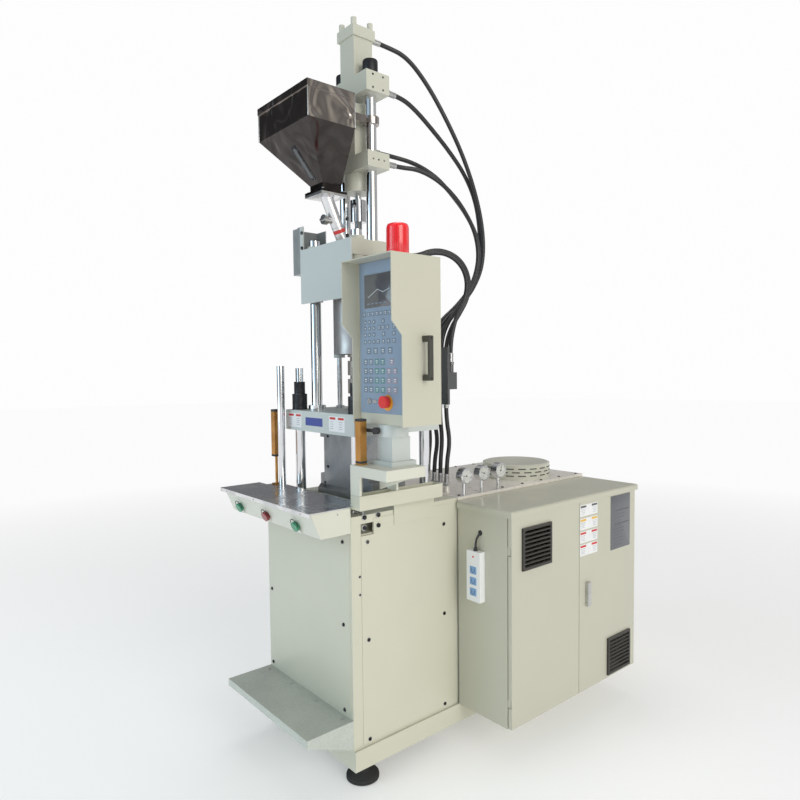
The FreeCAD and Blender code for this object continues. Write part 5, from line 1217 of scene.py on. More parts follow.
@dataclass
class Dressing:
    """Gives every frame node its finish and softens the edges of the large ones."""

    looks: dict[str, Dress] = field(
        default_factory=lambda: {
            "machine_frame": Dress(CREAM, 1.6),
            "levelling_feet": Dress(RUBBER),
            "column_panels": Dress(CREAM, 0.8),
            "step_plate": Dress(STEP_SHEET, 0.8),
            "lower_platen": Dress(CREAM_SOFT, 2.0),
            "mould_lower_half": Dress(GROUND_STEEL, 1.0),
            "work_table": Dress(STAINLESS, 0.8),
            "button_panel": Dress(PALE, 0.8),
            "side_tray": Dress(CREAM, 0.8),
            "control_arm": Dress(PALE, 2.0),
            "pedestal": Dress(GREY, 1.5),
            "light_curtains": Dress(AMBER, 1.0),
            "curtain_post": Dress(ROD_CHROME),
            "oil_tank": Dress(CREAM, 1.2),
            "tank_cover": Dress(COVER_SHEET, 1.0),
            "pump_motor": Dress(CREAM_SOFT),
            "pressure_gauges": Dress(HARD_CHROME),
            # Cabinet shell, lid and doors take the cream darkened as painted shade.
            "cabinet_shell": Dress(CREAM_PAINTED_SHADE, 1.6),
            "cabinet_lid": Dress(CREAM_PAINTED_SHADE, 1.0),
            "power_strip": Dress(WHITE, 1.5),
            "clamp_cylinder": Dress(SLATE),
            "left_door": Dress(CREAM_PAINTED_SHADE, 1.4),
            "left_grille": Dress(GRILLE),
            "right_door": Dress(CREAM_PAINTED_SHADE, 1.4),
            "right_grille": Dress(GRILLE),
            "door_handle": Dress(BRIGHT_STEEL, 1.5),
            "clamp_ram": Dress(GROUND_STEEL),
            "moving_platen": Dress(GREY, 2.0),
            "tie_bars": Dress(ROD_CHROME),
            "tie_bar_nuts": Dress(BLACK_OXIDE),
            "guide_rods": Dress(ROD_CHROME),
            "mould_upper_half": Dress(GROUND_STEEL, 1.0),
            "hose_manifold": Dress(SLATE, 1.5),
            "injection_base": Dress(CREAM_SOFT, 1.5),
            "guard_plate": Dress(GUARD, 1.0),
            "carriage_cylinders": Dress(GREY),
            "barrel": Dress(BARREL_STEEL),
            "barrel_cover": Dress(COVER_STEEL),
            "injection_rods": Dress(ROD_CHROME),
            "top_crosshead": Dress(CREAM_SOFT, 3.0),
            "injection_cylinder": Dress(CREAM_SOFT, 2.0),
            "motor_bracket": Dress(CREAM_SOFT, 3.0),
            "screw_motor": Dress(CREAM_SOFT, 1.5),
            "hopper": Dress(MIRROR),
            "feed_chute": Dress(STAINLESS),
            "hopper_lid": Dress(MIRROR),
            "chute_knob": Dress(BRIGHT_STEEL),
            "thrust_coupling": Dress(HARD_CHROME),
            "screw": Dress(GROUND_STEEL),
            # Control box takes the cream darkened as painted shade.
            "control_box": Dress(CREAM_HEAD_PAINTED_SHADE, 1.2),
            "keypad_panel": Dress(FILM),
            "beacon": Dress(LENS),
            "carry_handle": Dress(HANDLE, 3.0),
            "estop_head": Dress(RED, 1.0),
            "clamp_lever": Dress(BLACK, 1.5),
            "green_button_left": Dress(GREEN, 1.0),
            "red_button": Dress(BUTTON_RED, 1.0),
            "green_button_right": Dress(GREEN, 1.0),
            "upper_hoses": Dress(HOSE_RUBBER),
            "lower_hoses": Dress(HOSE_RUBBER),
        }
    )

    def build(self, nodes: dict[str, bpy.types.Object]) -> None:
        """Dresses the nodes.

        Args:
            nodes: The frame's objects by node name.
        """
        for name, node in nodes.items():
            look = self.looks[name]
            node.data.materials.clear()
            node.data.materials.append(look.finish.material())
            if look.edge:
                self.soften(node, look.edge * MILLIMETRE)
        LOG.info("dressed %d frame nodes", len(nodes))

    @staticmethod
    def soften(node: bpy.types.Object, width: float) -> None:
        """Joins the node's triangles and rounds its edges.

        Args:
            node: The frame node.
            width: The rounding, in metres.
        """
        weld = node.modifiers.new("weld", "WELD")
        weld.merge_threshold = 1e-5
        edge = node.modifiers.new("edge", "BEVEL")
        edge.width, edge.segments, edge.limit_method = width, 2, "ANGLE"
        edge.angle_limit = math.radians(40.0)
        edge.harden_normals = True
        edge.use_clamp_overlap = True


# -------------------------------------------------------------- sub-assemblies


@dataclass
class Column:
    """Screws, bolts and feet of the column and the skid."""

    screw_radius: float = 7.0
    screw_tall: float = 4.0
    front_spots: Sequence[tuple[float, float]] = (
        (-286, 947), (-286, 629), (-286, 298), (263, 947), (263, 629), (263, 298),
    )
    side_spots: Sequence[tuple[float, float]] = (
        (75, 944), (75, 566), (75, 178), (474, 948), (474, 568), (474, 179),
    )
    pad_spots: Sequence[tuple[float, float]] = ((-261, 80), (261, 80), (-261, 1390), (261, 1390))
    window: tuple[float, float, float] = (94.0, 1020.0, 33.0)
    bolt_rise: float = 20.0
    panel_recess: float = 2.0
    bore_heights: Sequence[float] = (817.0, 748.0)
    bore_y: float = 38.0
    pad_tall: float = 40.0
    thread_radius: float = 10.0
    thread_pitch: float = 3.0
    nut_low: float = 44.0
    washer_low: float = 72.0
    step_bolts_in: Sequence[float] = (40.0, 220.0)
    step_bolt_back: float = 24.0

    def build(self) -> None:
        """Makes every piece of the column."""
        self.panel_screws()
        self.window_bolts()
        self.feet()
        self.step_bolts()

    def panel_screws(self) -> None:
        """Screws round the front and side panels, each in its washer."""
        side = Extent.of("column_panels")
        stock = Stock()
        spots = [(Facing.FRONT, (x, side.front, z)) for x, z in self.front_spots]
        spots += [(Facing.RIGHT, (side.right, y, z)) for y, z in self.side_spots]
        spots += [(Facing.LEFT, (side.left, y, z)) for y, z in self.side_spots]
        for facing, spot in spots:
            stock.add(ring(3.0, self.screw_radius + 1.8, 0.9, 0.3, 24), facing.at(*spot), 1)
            stock.add(screw_head(self.screw_radius, self.screw_tall), facing.at(*spot), 0)
        stock.piece("panel_screws", [BLACK_OXIDE, BRIGHT_STEEL], Body.FRAME, "black_steel")

    def window_bolts(self) -> None:
        """Four hexagon bolts round the window in the frame's side, and two bores below it."""
        y, z, reach = self.window
        face = Extent.of("column_panels").right - self.panel_recess
        stock = Stock()
        for dy in (-reach, reach):
            for dz in (-self.bolt_rise, self.bolt_rise):
                spot = Facing.RIGHT.at(face, y + dy, z + dz)
                stock.add(disc(12.0, 1.6, sides=28, edge=0.4), spot, 1)
                stock.add(disc(9.2, 7.4, sides=6, edge=0.8), spot, 0)
        for height in self.bore_heights:
            spot = Facing.RIGHT.at(face, self.bore_y, height)
            stock.add(ring(4.6, 6.6, 0.8, 0.3, 24), spot, 1)
            stock.add(disc(4.6, 0.3, sides=24), spot, 0)
        stock.piece("window_bolts", [BLACK_OXIDE, BRIGHT_STEEL], Body.FRAME, "black_steel")

    def feet(self) -> None:
        """Rubber pads with ribbed rims, threaded studs and lock nuts."""
        feet = Extent.of("levelling_feet")
        pad_profile = [
            (0.0, 0.0), (60.0, 0.0), (64.5, 2.5), (65.0, 8.0), (63.2, 9.5), (63.2, 11.5),
            (65.0, 13.0), (64.0, 17.0),
            (55.0, 22.5), (34.0, 27.0), (26.0, 33.0), (24.0, 40.0), (0.0, 40.0),
        ]
        root, crest = self.thread_radius - 0.8, self.thread_radius
        thread = [(0.0, self.pad_tall - 2.0)]
        for turn in range(int((feet.high - self.pad_tall - 2.0) / self.thread_pitch)):
            low = self.pad_tall + turn * self.thread_pitch
            thread += [(root, low), (crest, low + 1.0), (crest, low + 1.6), (root, low + 2.6)]
        thread.append((0.0, thread[-1][1]))
        stock = Stock()
        for x, y in self.pad_spots:
            spot = Facing.UP.at(x, y, feet.low)
            stock.add(turned(pad_profile, 48), spot, 0)
            stock.add(turned(thread, 20), spot, 1)
            nut = spot @ Matrix.Translation((0.0, 0.0, self.nut_low))
            stock.add(disc(17.0, 13.0, sides=6, edge=1.2), nut, 1)
            washer = spot @ Matrix.Translation((0.0, 0.0, self.washer_low))
            stock.add(ring(10.4, 20.0, 2.4, 0.5, 32), washer, 1)
        stock.piece("foot_pads", [RUBBER, GROUND_STEEL], Body.FRAME, "black_rubber", ["levelling_feet"])

    def step_bolts(self) -> None:
        """Washers of the four bolts along the step's back edge."""
        step = Extent.of("step_plate")
        near, far = self.step_bolts_in
        stock = Stock()
        for x in (step.left + near, step.left + far, step.right - far, step.right - near):
            place = Facing.UP.at(x, step.back - self.step_bolt_back, step.high)
            stock.add(ring(3.4, 8.0, 0.8, 0.3, 24), place, 0)
        stock.piece("step_bolt_rings", [BRIGHT_STEEL], Body.FRAME, "chrome")


def flat_field(
    stock: Stock, facing: Facing, spot: Spot, wide: float, tall: float, finish: int, lift: float = 0.0
) -> None:
    """Thin colour field lying on a face.

    Args:
        stock: What it is added to.
        facing: Where it looks.
        spot: Its middle on the face.
        wide: Its width.
        tall: Its height.
        finish: Its finish in the piece.
        lift: Distance off the face.
    """
    place = facing.at(*spot) @ Matrix.Translation((0.0, 0.0, lift))
    stock.add(pad(wide, tall, SKIN, min(1.2, wide / 4, tall / 4)), place, finish)


@dataclass
class Table:
    """Screws of the work table and its panel, and the buttons' rings and tags."""

    outward: Spot = (0.0, -0.9153, -0.4027)
    up: Spot = (0.0, -0.4027, 0.9153)
    panel_top: tuple[float, float] = (-190.0, 1092.0)
    head_drop: float = -8.0
    ring_inner: float = 20.5
    ring_outer: float = 23.5
    tag_drop: float = 30.0
    tag_tall: float = 11.0
    tag_wides: Sequence[float] = (34.0, 0.0, 40.0)
    screws_in: Sequence[float] = (60.0, 300.0)
    side_screws: Sequence[float] = (-60.0, 10.0)
    buttons: Sequence[str] = ("green_button_left", "red_button", "green_button_right")

    def build(self) -> None:
        """Makes the table's pieces."""
        self.screws()
        self.rings_and_tags()

    def screws(self) -> None:
        """Screws in the table's front edge and in the panel's cheek."""
        panel = Extent.of("button_panel")
        stock = Stock()
        desk = Extent.of("work_table")
        near, far = self.screws_in
        for x in (desk.left + near, desk.left + far, desk.right - near):
            stock.add(screw_head(3.4, 1.6), Facing.FRONT.at(x, desk.front, desk.high - 9.0), 0)
        for y in self.side_screws:
            stock.add(screw_head(3.6, 1.8), Facing.RIGHT.at(panel.right, y, panel.high - 20.0), 0)
        stock.piece("table_screws", [BRIGHT_STEEL], Body.FRAME, "chrome")

    def rings_and_tags(self) -> None:
        """Ring round each push button, and the tag below each green one."""
        tags, rings = Stock(), Stock()
        outward, up = Vector(self.outward), Vector(self.up)
        axes = ((1.0, 0.0, 0.0), tuple(up), tuple(outward))
        for name, wide in zip(self.buttons, self.tag_wides):
            button = Extent.of(name)
            down = (self.panel_top[1] - button.middle.z) / up.z + self.head_drop
            foot = at(button.middle.x, self.panel_top[0] - up.y * down, self.panel_top[1] - up.z * down)
            rings.add(ring(self.ring_inner, self.ring_outer, 1.6, 0.5, 40), placed(foot, axes), 0)
            if wide:
                low = foot - up * self.tag_drop * MILLIMETRE
                tags.add(pad(wide, self.tag_tall, 0.4, 1.5), placed(low, axes), 0)
                raised = placed(low, axes) @ Matrix.Translation((0, 0, 0.4))
                tags.add(pad(wide * 0.3, 4.0, 0.2, 0.8), raised, 1)
        rings.piece("button_rings", [BLACK], Body.FRAME, "black_plastic")
        tags.piece("button_tags", [PRINT_PALE, PRINT_LINES], Body.FRAME, "white_plastic")


@dataclass
class Clamp:
    """Fields and bolts of the moving platen and the mould."""

    bolt_radius: float = 6.5
    bolt_in: float = 60.0
    bolt_up: float = 34.0
    field_starts: Sequence[float] = (-226.0, 92.0)
    field_size: tuple[float, float] = (108.0, 60.0)
    nameplate: tuple[float, float, float] = (-28.0, 130.0, 34.0)

    def build(self) -> None:
        """Makes the clamp's pieces."""
        platen = Extent.of("moving_platen")
        middle = (platen.low + platen.high) / 2
        face = platen.front
        stock = Stock()
        for start in self.field_starts:
            flat_field(stock, Facing.FRONT, (start + 46.0, face, middle), *self.field_size, 0)
            for step in (0.0, 58.0):
                spot = (start + 18.0 + step, face, middle + 22.0)
                flat_field(stock, Facing.FRONT, spot, 40.0, 9.0, 1, SKIN)
            for row in range(4):
                for step in (0.0, 62.0):
                    spot = (start + 12.0 + step, face, middle + 8.0 - row * 9.0)
                    flat_field(stock, Facing.FRONT, spot, 24.0, 2.4, 2, SKIN)
        x, wide, tall = self.nameplate
        flat_field(stock, Facing.FRONT, (x, face, middle), wide, tall, 3)
        stock.piece(
            "platen_fields", [PRINT_PALE, PRINT_RED, PRINT_LINES, PRINT_BLUE], Body.CLAMP, "white_plastic"
        )
        self.mould_bolts("mould_upper_half", Body.CLAMP)
        self.mould_bolts("mould_lower_half", Body.FRAME)

    def mould_bolts(self, node: str, body: Body) -> None:
        """Socket screws in the front of one mould half.

        Args:
            node: The mould half.
            body: What it rides on.
        """
        half = Extent.of(node)
        stock = Stock()
        for x in (half.left + self.bolt_in, half.right - self.bolt_in):
            for z in (half.low + self.bolt_up, half.high - self.bolt_up):
                stock.add(screw_head(self.bolt_radius, 3.0), Facing.FRONT.at(x, half.front, z), 0)
        stock.piece(node + "_bolts", [BLACK_OXIDE], body, "black_steel")


@dataclass
class ControlHead:
    """Keypad, screen, switches, beacon and fittings of the control box."""

    rows: Sequence[tuple[float, Sequence[float]]] = (
        (1800, (314, 340, 365, 390, 414, 439, 463, 488)),
        (1771, (319, 344, 371, 425, 486)),
        (1748, (319, 344, 371, 402, 425, 450, 486)),
        (1724, (319, 344, 371, 427, 486)),
        (1698, (319, 344, 371, 395, 426, 455, 486)),
        (1664, (339, 380, 422, 464)),
        (1624, (319, 351, 386, 420, 472)),
        (1590, (319, 351, 386, 420, 456, 490)),
        (1556, (319, 351, 386, 420, 456, 490)),
        (1522, (319, 351, 386, 420, 456, 490)),
    )
    round_rows: Sequence[float] = (1771, 1748, 1724, 1698)
    key_small: float = 17.0
    key_large: float = 24.0
    screen: tuple[float, float, float, float] = (317.0, 484.0, 1823.0, 1944.0)
    key_switch: tuple[float, float] = (340.0, 1479.0)
    stop: tuple[float, float] = (447.0, 1476.0)
    gland: tuple[float, float] = (450.0, 205.0)
    knob_steps: Sequence[float] = (26.0, 38.0)
    square_rows_from: int = 5
    tinted_columns: Sequence[int] = (2, 3)
    curve: Sequence[tuple[float, float]] = (
        (-62, -22), (-44, -14), (-22, -4), (-6, 4), (10, -2), (26, -8), (44, -4), (62, 2),
    )
    ribs: int = 40

    def build(self) -> None:
        """Makes the control head's pieces."""
        face = Extent.of("keypad_panel").front
        self.keys(face)
        self.display(face)
        self.switches(face)
        self.lamp()
        self.box_trim()

    def keys(self, face: float) -> None:
        """Raised keys of the film, round and square, each with its printed mark."""
        stock = Stock()
        for row, (z, columns) in enumerate(self.rows):
            for column, x in enumerate(columns):
                place = Facing.FRONT.at(x, face, z)
                mark = Facing.FRONT.at(x, face - 0.9, z)
                if z in self.round_rows and column < 3:
                    stock.add(disc(8.6, 1.0, sides=20, edge=0.4), place, 0)
                    stock.add(pad(5.0, 5.0, 0.25, 1.0), mark, 1)
                    continue
                large = row >= self.square_rows_from
                wide, tall = (self.key_large, 23.0) if large else (self.key_small, 17.0)
                teal = row > self.square_rows_from and column in self.tinted_columns
                mauve = large and column > max(self.tinted_columns)
                tint = 3 if mauve else 2 if teal else 0
                stock.add(pad(wide, tall, 1.0, 2.0, 0.4), place, tint)
                for share, thin, side in ((0.5, 0.16, 1.0), (0.34, 0.14, -1.0)):
                    spot = mark @ Matrix.Translation((0, side * tall * 0.16, 0))
                    stock.add(pad(wide * share, tall * thin, 0.25, 0.5), spot, 1)
        stock.piece("keypad_keys", [KEY, KEY_MARK, KEY_TEAL, KEY_MAUVE], Body.HEAD, "keypad")

    def display(self, face: float) -> None:
        """Screen with its frame, a drawn curve and a row of blocks."""
        left, right, low, high = self.screen
        wide, tall, x, z = right - left, high - low, (left + right) / 2, (low + high) / 2
        stock = Stock()
        stock.add(pad(wide + 8, tall + 8, 0.6, 3.0, 0.3), Facing.FRONT.at(x, face, z), 0)
        stock.add(pad(wide, tall, 1.1, 1.5, 0.3), Facing.FRONT.at(x, face, z), 1)
        for (x0, z0), (x1, z1) in zip(self.curve, self.curve[1:]):
            run = Vector((x1 - x0, z1 - z0))
            spin = Matrix.Rotation(math.atan2(run.y, run.x), 4, "Z")
            spot = Facing.FRONT.at(x + (x0 + x1) / 2, face - 1.1, z + (z0 + z1) / 2)
            stock.add(block(run.length + 1.0, 1.8, 0.2), spot @ spin, 2)
        for step in range(5):
            spot = Facing.FRONT.at(x - 60 + step * 24, face - 1.1, z - 46)
            stock.add(block(15.0, 5.0, 0.2), spot, 3)
        stock.piece("control_screen", [FILM_EDGE, SCREEN, KEY_MARK, KEY], Body.HEAD, "keypad")

    def switches(self, face: float) -> None:
        """Key switch, selector and the collar under the stop button."""
        x, z = self.key_switch
        stock = Stock()
        place = Facing.FRONT.at(x, face, z)
        stock.add(turned([(0, 0), (11, 0), (11, 3.5), (9.6, 5), (7, 5), (7, 3.8), (0, 3.8)], 32), place, 0)
        stock.add(block(2.2, 9.0, 0.4), place @ Matrix.Translation((0, 0, 3.7)), 1)
        for step in self.knob_steps:
            place = Facing.FRONT.at(x + step, face, z)
            knob = [(0, 0), (7.5, 0), (7.5, 2.5), (6.5, 3.4), (4, 3.4), (4, 2.4), (0, 2.4)]
            stock.add(turned(knob, 24), place, 0)
        stop_x, stop_z = self.stop
        collar = [(15.0, 0.0), (28.5, 0.0), (28.5, 1.6), (27.3, 2.6), (16.0, 2.6), (15.0, 1.6), (15.0, 0.0)]
        stock.add(turned(collar, 48), Facing.FRONT.at(stop_x, face, stop_z), 2)
        stock.piece("control_switches", [BRIGHT_STEEL, BLACK, YELLOW], Body.HEAD, "chrome")

    def lamp(self) -> None:
        """Warning beacon: base, clear red dome and upright ribs."""
        beacon = Extent.of("beacon")
        x, y = beacon.middle.x, beacon.middle.y
        radius = (beacon.right - beacon.left) / 2
        base, top = beacon.low, beacon.high - beacon.low
        stock = Stock()
        place = Facing.UP.at(x, y, base)
        skirt = [(0, 0), (radius, 0), (radius, 3), (radius - 2, 5), (radius - 2, 21), (radius - 4, 25), (0, 25)]
        stock.add(turned(skirt, 64), place, 0)
        dome = [(0, 24), (radius - 3, 24), (radius - 1.2, 27), (radius - 1.2, top - 14)]
        dome += [(radius - 2.6, top - 8), (radius - 6.5, top - 3), (radius - 13, top - 0.6), (0, top)]
        stock.add(turned(dome, 64), place, 1)
        for step in range(self.ribs):
            turn = Matrix.Rotation(step * math.tau / self.ribs, 4, "Z")
            rib = place @ turn @ Matrix.Translation((radius - 1.6, 0, 30.0))
            stock.add(block(1.5, 2.4, top - 48.0, 0.5, 1), rib, 2)
        stock.piece("beacon_lamp", [WHITE, LENS, LENS_RIBS], Body.HEAD, "red_lens", ["beacon"])

    def box_trim(self) -> None:
        """Screws of the handle, and the cable gland beside the beacon."""
        box, handle = Extent.of("control_box"), Extent.of("carry_handle")
        stock = Stock()
        for z in (handle.low + 8, handle.high - 8):
            stock.add(screw_head(3.6, 1.6), Facing.RIGHT.at(handle.right, handle.middle.y, z), 1)
        gland = Facing.UP.at(*self.gland, box.high)
        stock.add(disc(11.0, 8.0, sides=6, edge=0.8), gland, 0)
        stock.add(turned([(0, 8), (8, 8), (8, 14), (5.5, 20), (0, 20)], 28), gland, 0)
        stock.piece("control_box_fittings", [BRIGHT_STEEL, BLACK_OXIDE], Body.HEAD, "chrome")


@dataclass
class Gauges:
    """Dials, pointers, rims and glasses of the pressure gauges."""

    spots: Sequence[float] = (612.0, 722.0, 832.0)
    height: float = 1134.0
    radius: float = 34.0
    readings: Sequence[float] = (-95.0, -70.0, 20.0)
    ticks: int = 28
    tick_step: float = 10.0
    first_tick: float = -135.0
    long_every: int = 5

    def build(self) -> None:
        """Makes the gauges' pieces."""
        face = Extent.of("pressure_gauges").right
        stock, cover = Stock(), Stock()
        for y, reading in zip(self.spots, self.readings):
            place = Facing.RIGHT.at(face, y, self.height)
            stock.add(disc(self.radius - 4.0, 0.5, sides=48), place, 0)
            stock.add(ring(self.radius - 4.6, self.radius, 4.2, 1.4, 56), place, 2)
            for tick in range(self.ticks):
                angle = math.radians(self.first_tick + tick * self.tick_step)
                inset, wide, tall = (8.4, 0.5, 2.6) if tick % self.long_every else (10.0, 0.9, 5.0)
                mark = Matrix.Rotation(-angle, 4, "Z") @ Matrix.Translation((0, self.radius - inset, 0.5))
                stock.add(block(wide, tall, 0.15), place @ mark, 1)
            hand = place @ Matrix.Rotation(-math.radians(reading), 4, "Z")
            stock.add(block(1.6, 24.0, 0.5), hand @ Matrix.Translation((0, 8.0, 1.0)), 1)
            stock.add(disc(3.2, 1.6, sides=24, edge=0.4), place @ Matrix.Translation((0, 0, 0.8)), 1)
            glass = disc(self.radius - 4.6, 0.8, sides=48, edge=0.3)
            cover.add(glass, place @ Matrix.Translation((0, 0, 2.4)), 0)
        stock.piece("gauge_dials", [DIAL, BLACK, HARD_CHROME], Body.FRAME, "chrome")
        cover.piece("gauge_glasses", [CLEAR], Body.FRAME, "chrome")


@dataclass
class Cabinet:
    """Plates, fields, sockets, latch and lead of the electric cabinet."""

    label_left: float = 1012.0
    label_wide: float = 132.0
    label_tall: float = 50.0
    labels: Sequence[tuple[float, int]] = ((968.0, 4), (908.0, 3), (850.0, 2), (792.0, 2))
    plate: tuple[float, float, float, float] = (1250.0, 1413.0, 750.0, 1001.0)
    plate_thick: float = 1.4
    plate_bars: Sequence[tuple[float, float]] = ((930.0, 110.0), (868.0, 120.0))
    sockets: Sequence[float] = (770.0, 725.0, 680.0)
    lead_radius: float = 4.5
    lead_out: float = 13.0
    lead_up: float = 74.0
    cover_top: float = 1048.0
    cover_rows: int = 7

    def build(self) -> None:
        """Makes the cabinet's pieces."""
        self.door_fields()
        self.strip()
        self.latch()
        self.lid_screws()

    def door_fields(self) -> None:
        """Dark blank plate and four plain colour fields on the right door."""
        face = Extent.of("right_door").right
        left, right, low, high = self.plate
        plate = Stock()
        place = Facing.RIGHT.at(face, (left + right) / 2, (low + high) / 2)
        plate.add(pad(right - left, high - low, self.plate_thick, 3.0, 0.4), place, 0)
        for row, (z, wide) in enumerate(self.plate_bars):
            flat_field(plate, Facing.RIGHT, (face, left + 92.0 + row * 2, z), wide, 5.0, 1, self.plate_thick)
        for row in range(9):
            z = 912.0 - row * 15.0 - (22.0 if row > 1 else 0.0)
            wide = 96.0 - row % 3 * 12.0
            flat_field(plate, Facing.RIGHT, (face, left + 66.0, z), wide, 2.2, 1, self.plate_thick)
        plate.piece("dark_plate", [PLATE_DARK, SLATE], Body.RIGHT_DOOR, "dark_paint")
        stock = Stock()
        middle = self.label_left + self.label_wide / 2
        for z, tint in self.labels:
            flat_field(stock, Facing.RIGHT, (face, middle, z), self.label_wide, self.label_tall, 0)
            for side in (-1.0, 1.0):
                top = (face, middle + side * 42.0, z + 17.0)
                flat_field(stock, Facing.RIGHT, top, 42.0, 9.0, tint, SKIN)
                for row in range(4):
                    line = (face, middle + side * 44.0, z + 6.0 - row * 7.0)
                    flat_field(stock, Facing.RIGHT, line, 34.0 - row * 3.0, 2.0, 1, SKIN)
        stock.piece(
            "door_fields",
            [PRINT_PALE, PRINT_LINES, PRINT_RED, PRINT_YELLOW, SLATE],
            Body.RIGHT_DOOR,
            "white_plastic",
        )

    def strip(self) -> None:
        """Sockets, switch and cable neck of the power strip."""
        strip = Extent.of("power_strip")
        middle = strip.middle
        stock = Stock()
        for z in self.sockets:
            place = Facing.FRONT.at(middle.x, strip.front, z)
            stock.add(pad(36.0, 32.0, 0.9, 4.0, 0.4), place, 0)
            stock.add(disc(2.6, 0.3, sides=20), place @ Matrix.Translation((0, -9.0, 0.9)), 1)
            for side, spin in ((-8.0, 0.0), (8.0, 0.0), (-8.0, 0.5), (8.0, -0.5)):
                slot = Matrix.Translation((side, 4.0 if spin else -3.0, 0.9)) @ Matrix.Rotation(spin, 4, "Z")
                stock.add(block(2.0, 7.0, 0.3), place @ slot, 1)
        switch = Facing.FRONT.at(middle.x, strip.front, strip.high - 22.0)
        stock.add(disc(4.0, 1.2, sides=24, edge=0.4), switch, 2)
        neck = Facing.UP.at(middle.x, middle.y, strip.high)
        stock.add(turned([(0, 0), (9, 0), (8.4, 6), (6.4, 12), (5.6, 16), (0, 16)], 28), neck, 1)
        stock.piece("strip_sockets", [SOCKET_BLUE, BLACK, RED], Body.FRAME, "white_plastic")
        self.lead(strip)

    def lead(self, strip: Extent) -> None:
        """Lead from the strip's end into the cabinet, and its grommet.

        Args:
            strip: The power strip's box.
        """
        x, y, end = strip.middle.x, strip.middle.y, strip.high
        route = (
            (x, y, end + 8),
            (x, y, end + 26),
            (x + 3, y + 1, end + 44),
            (x + 8, y + 5, end + 62),
            (x + self.lead_out, strip.back + 2, end + self.lead_up),
        )
        tube, path = Hose("strip_lead", route, 0.0, self.lead_radius).build()
        tube.data.materials[0] = BLACK.material()
        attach(tube, Body.FRAME.value)
        hole = Stock()
        lip = [(4.0, 0), (11.0, 0), (11.0, 1.2), (8.0, 3.0), (5.0, 3.0), (4.0, 2.0), (4.0, 0)]
        spot = Facing.FRONT.at(x + self.lead_out, strip.back, end + self.lead_up)
        hole.add(turned(lip, 32), spot, 0)
        hole.piece("lead_grommet", [RUBBER], Body.FRAME, "black_rubber")

    def latch(self) -> None:
        """Lock barrel in the latch."""
        handle = Extent.of("door_handle")
        stock = Stock()
        place = Facing.RIGHT.at(handle.right, handle.middle.y, handle.low + 22.0)
        stock.add(turned([(0, 0), (6.5, 0), (6.5, 0.5), (5.4, 0.9), (0, 0.9)], 28), place, 0)
        stock.add(block(1.6, 6.0, 0.15), place @ Matrix.Translation((0, 0, 0.9)), 1)
        stock.piece("latch_lock", [HARD_CHROME, BLACK], Body.HANDLE, "chrome")

    def lid_screws(self) -> None:
        """Screws along both edges of the tank cover."""
        cover = Extent.of("tank_cover")
        stock = Stock()
        for step in range(self.cover_rows):
            y = cover.front + 30 + step * (cover.back - cover.front - 60) / (self.cover_rows - 1)
            for x in (cover.left + 22, cover.right - 22):
                place = Facing.UP.at(x, y, self.cover_top)
                stock.add(ring(3.2, 8.6, 0.9, 0.3, 24), place, 1)
                stock.add(screw_head(6.0, 4.4), place, 0)
        stock.piece("tank_cover_screws", [BLACK_OXIDE, BRIGHT_STEEL], Body.FRAME, "black_steel")


@dataclass
class Cowl:
    """Slots in the fan cowl's side."""

    x: float = 116.0
    y: float = 1180.0
    radius: float = 167.0
    rows: int = 3
    slots: int = 18
    first_row: float = 20.0
    row_pitch: float = 17.0

    def build(self) -> None:
        """Makes the cowl's pieces."""
        motor = Extent.of("pump_motor")
        stock = Stock()
        for row in range(self.rows):
            z = motor.high - self.first_row - row * self.row_pitch
            for step in range(self.slots):
                angle = (step + 0.5 * (row % 2)) * math.tau / self.slots
                outward = Vector((math.cos(angle), math.sin(angle), 0.0))
                side = Vector((-math.sin(angle), math.cos(angle), 0.0))
                spot = at(self.x, self.y, z) + outward * (self.radius - 0.6) * MILLIMETRE
                stock.add(pad(38.0, 5.0, 1.0, 2.2), placed(spot, (side, (0, 0, 1), outward)), 0)
        stock.piece("cowl_slots", [BLACK], Body.FRAME, "black_plastic")


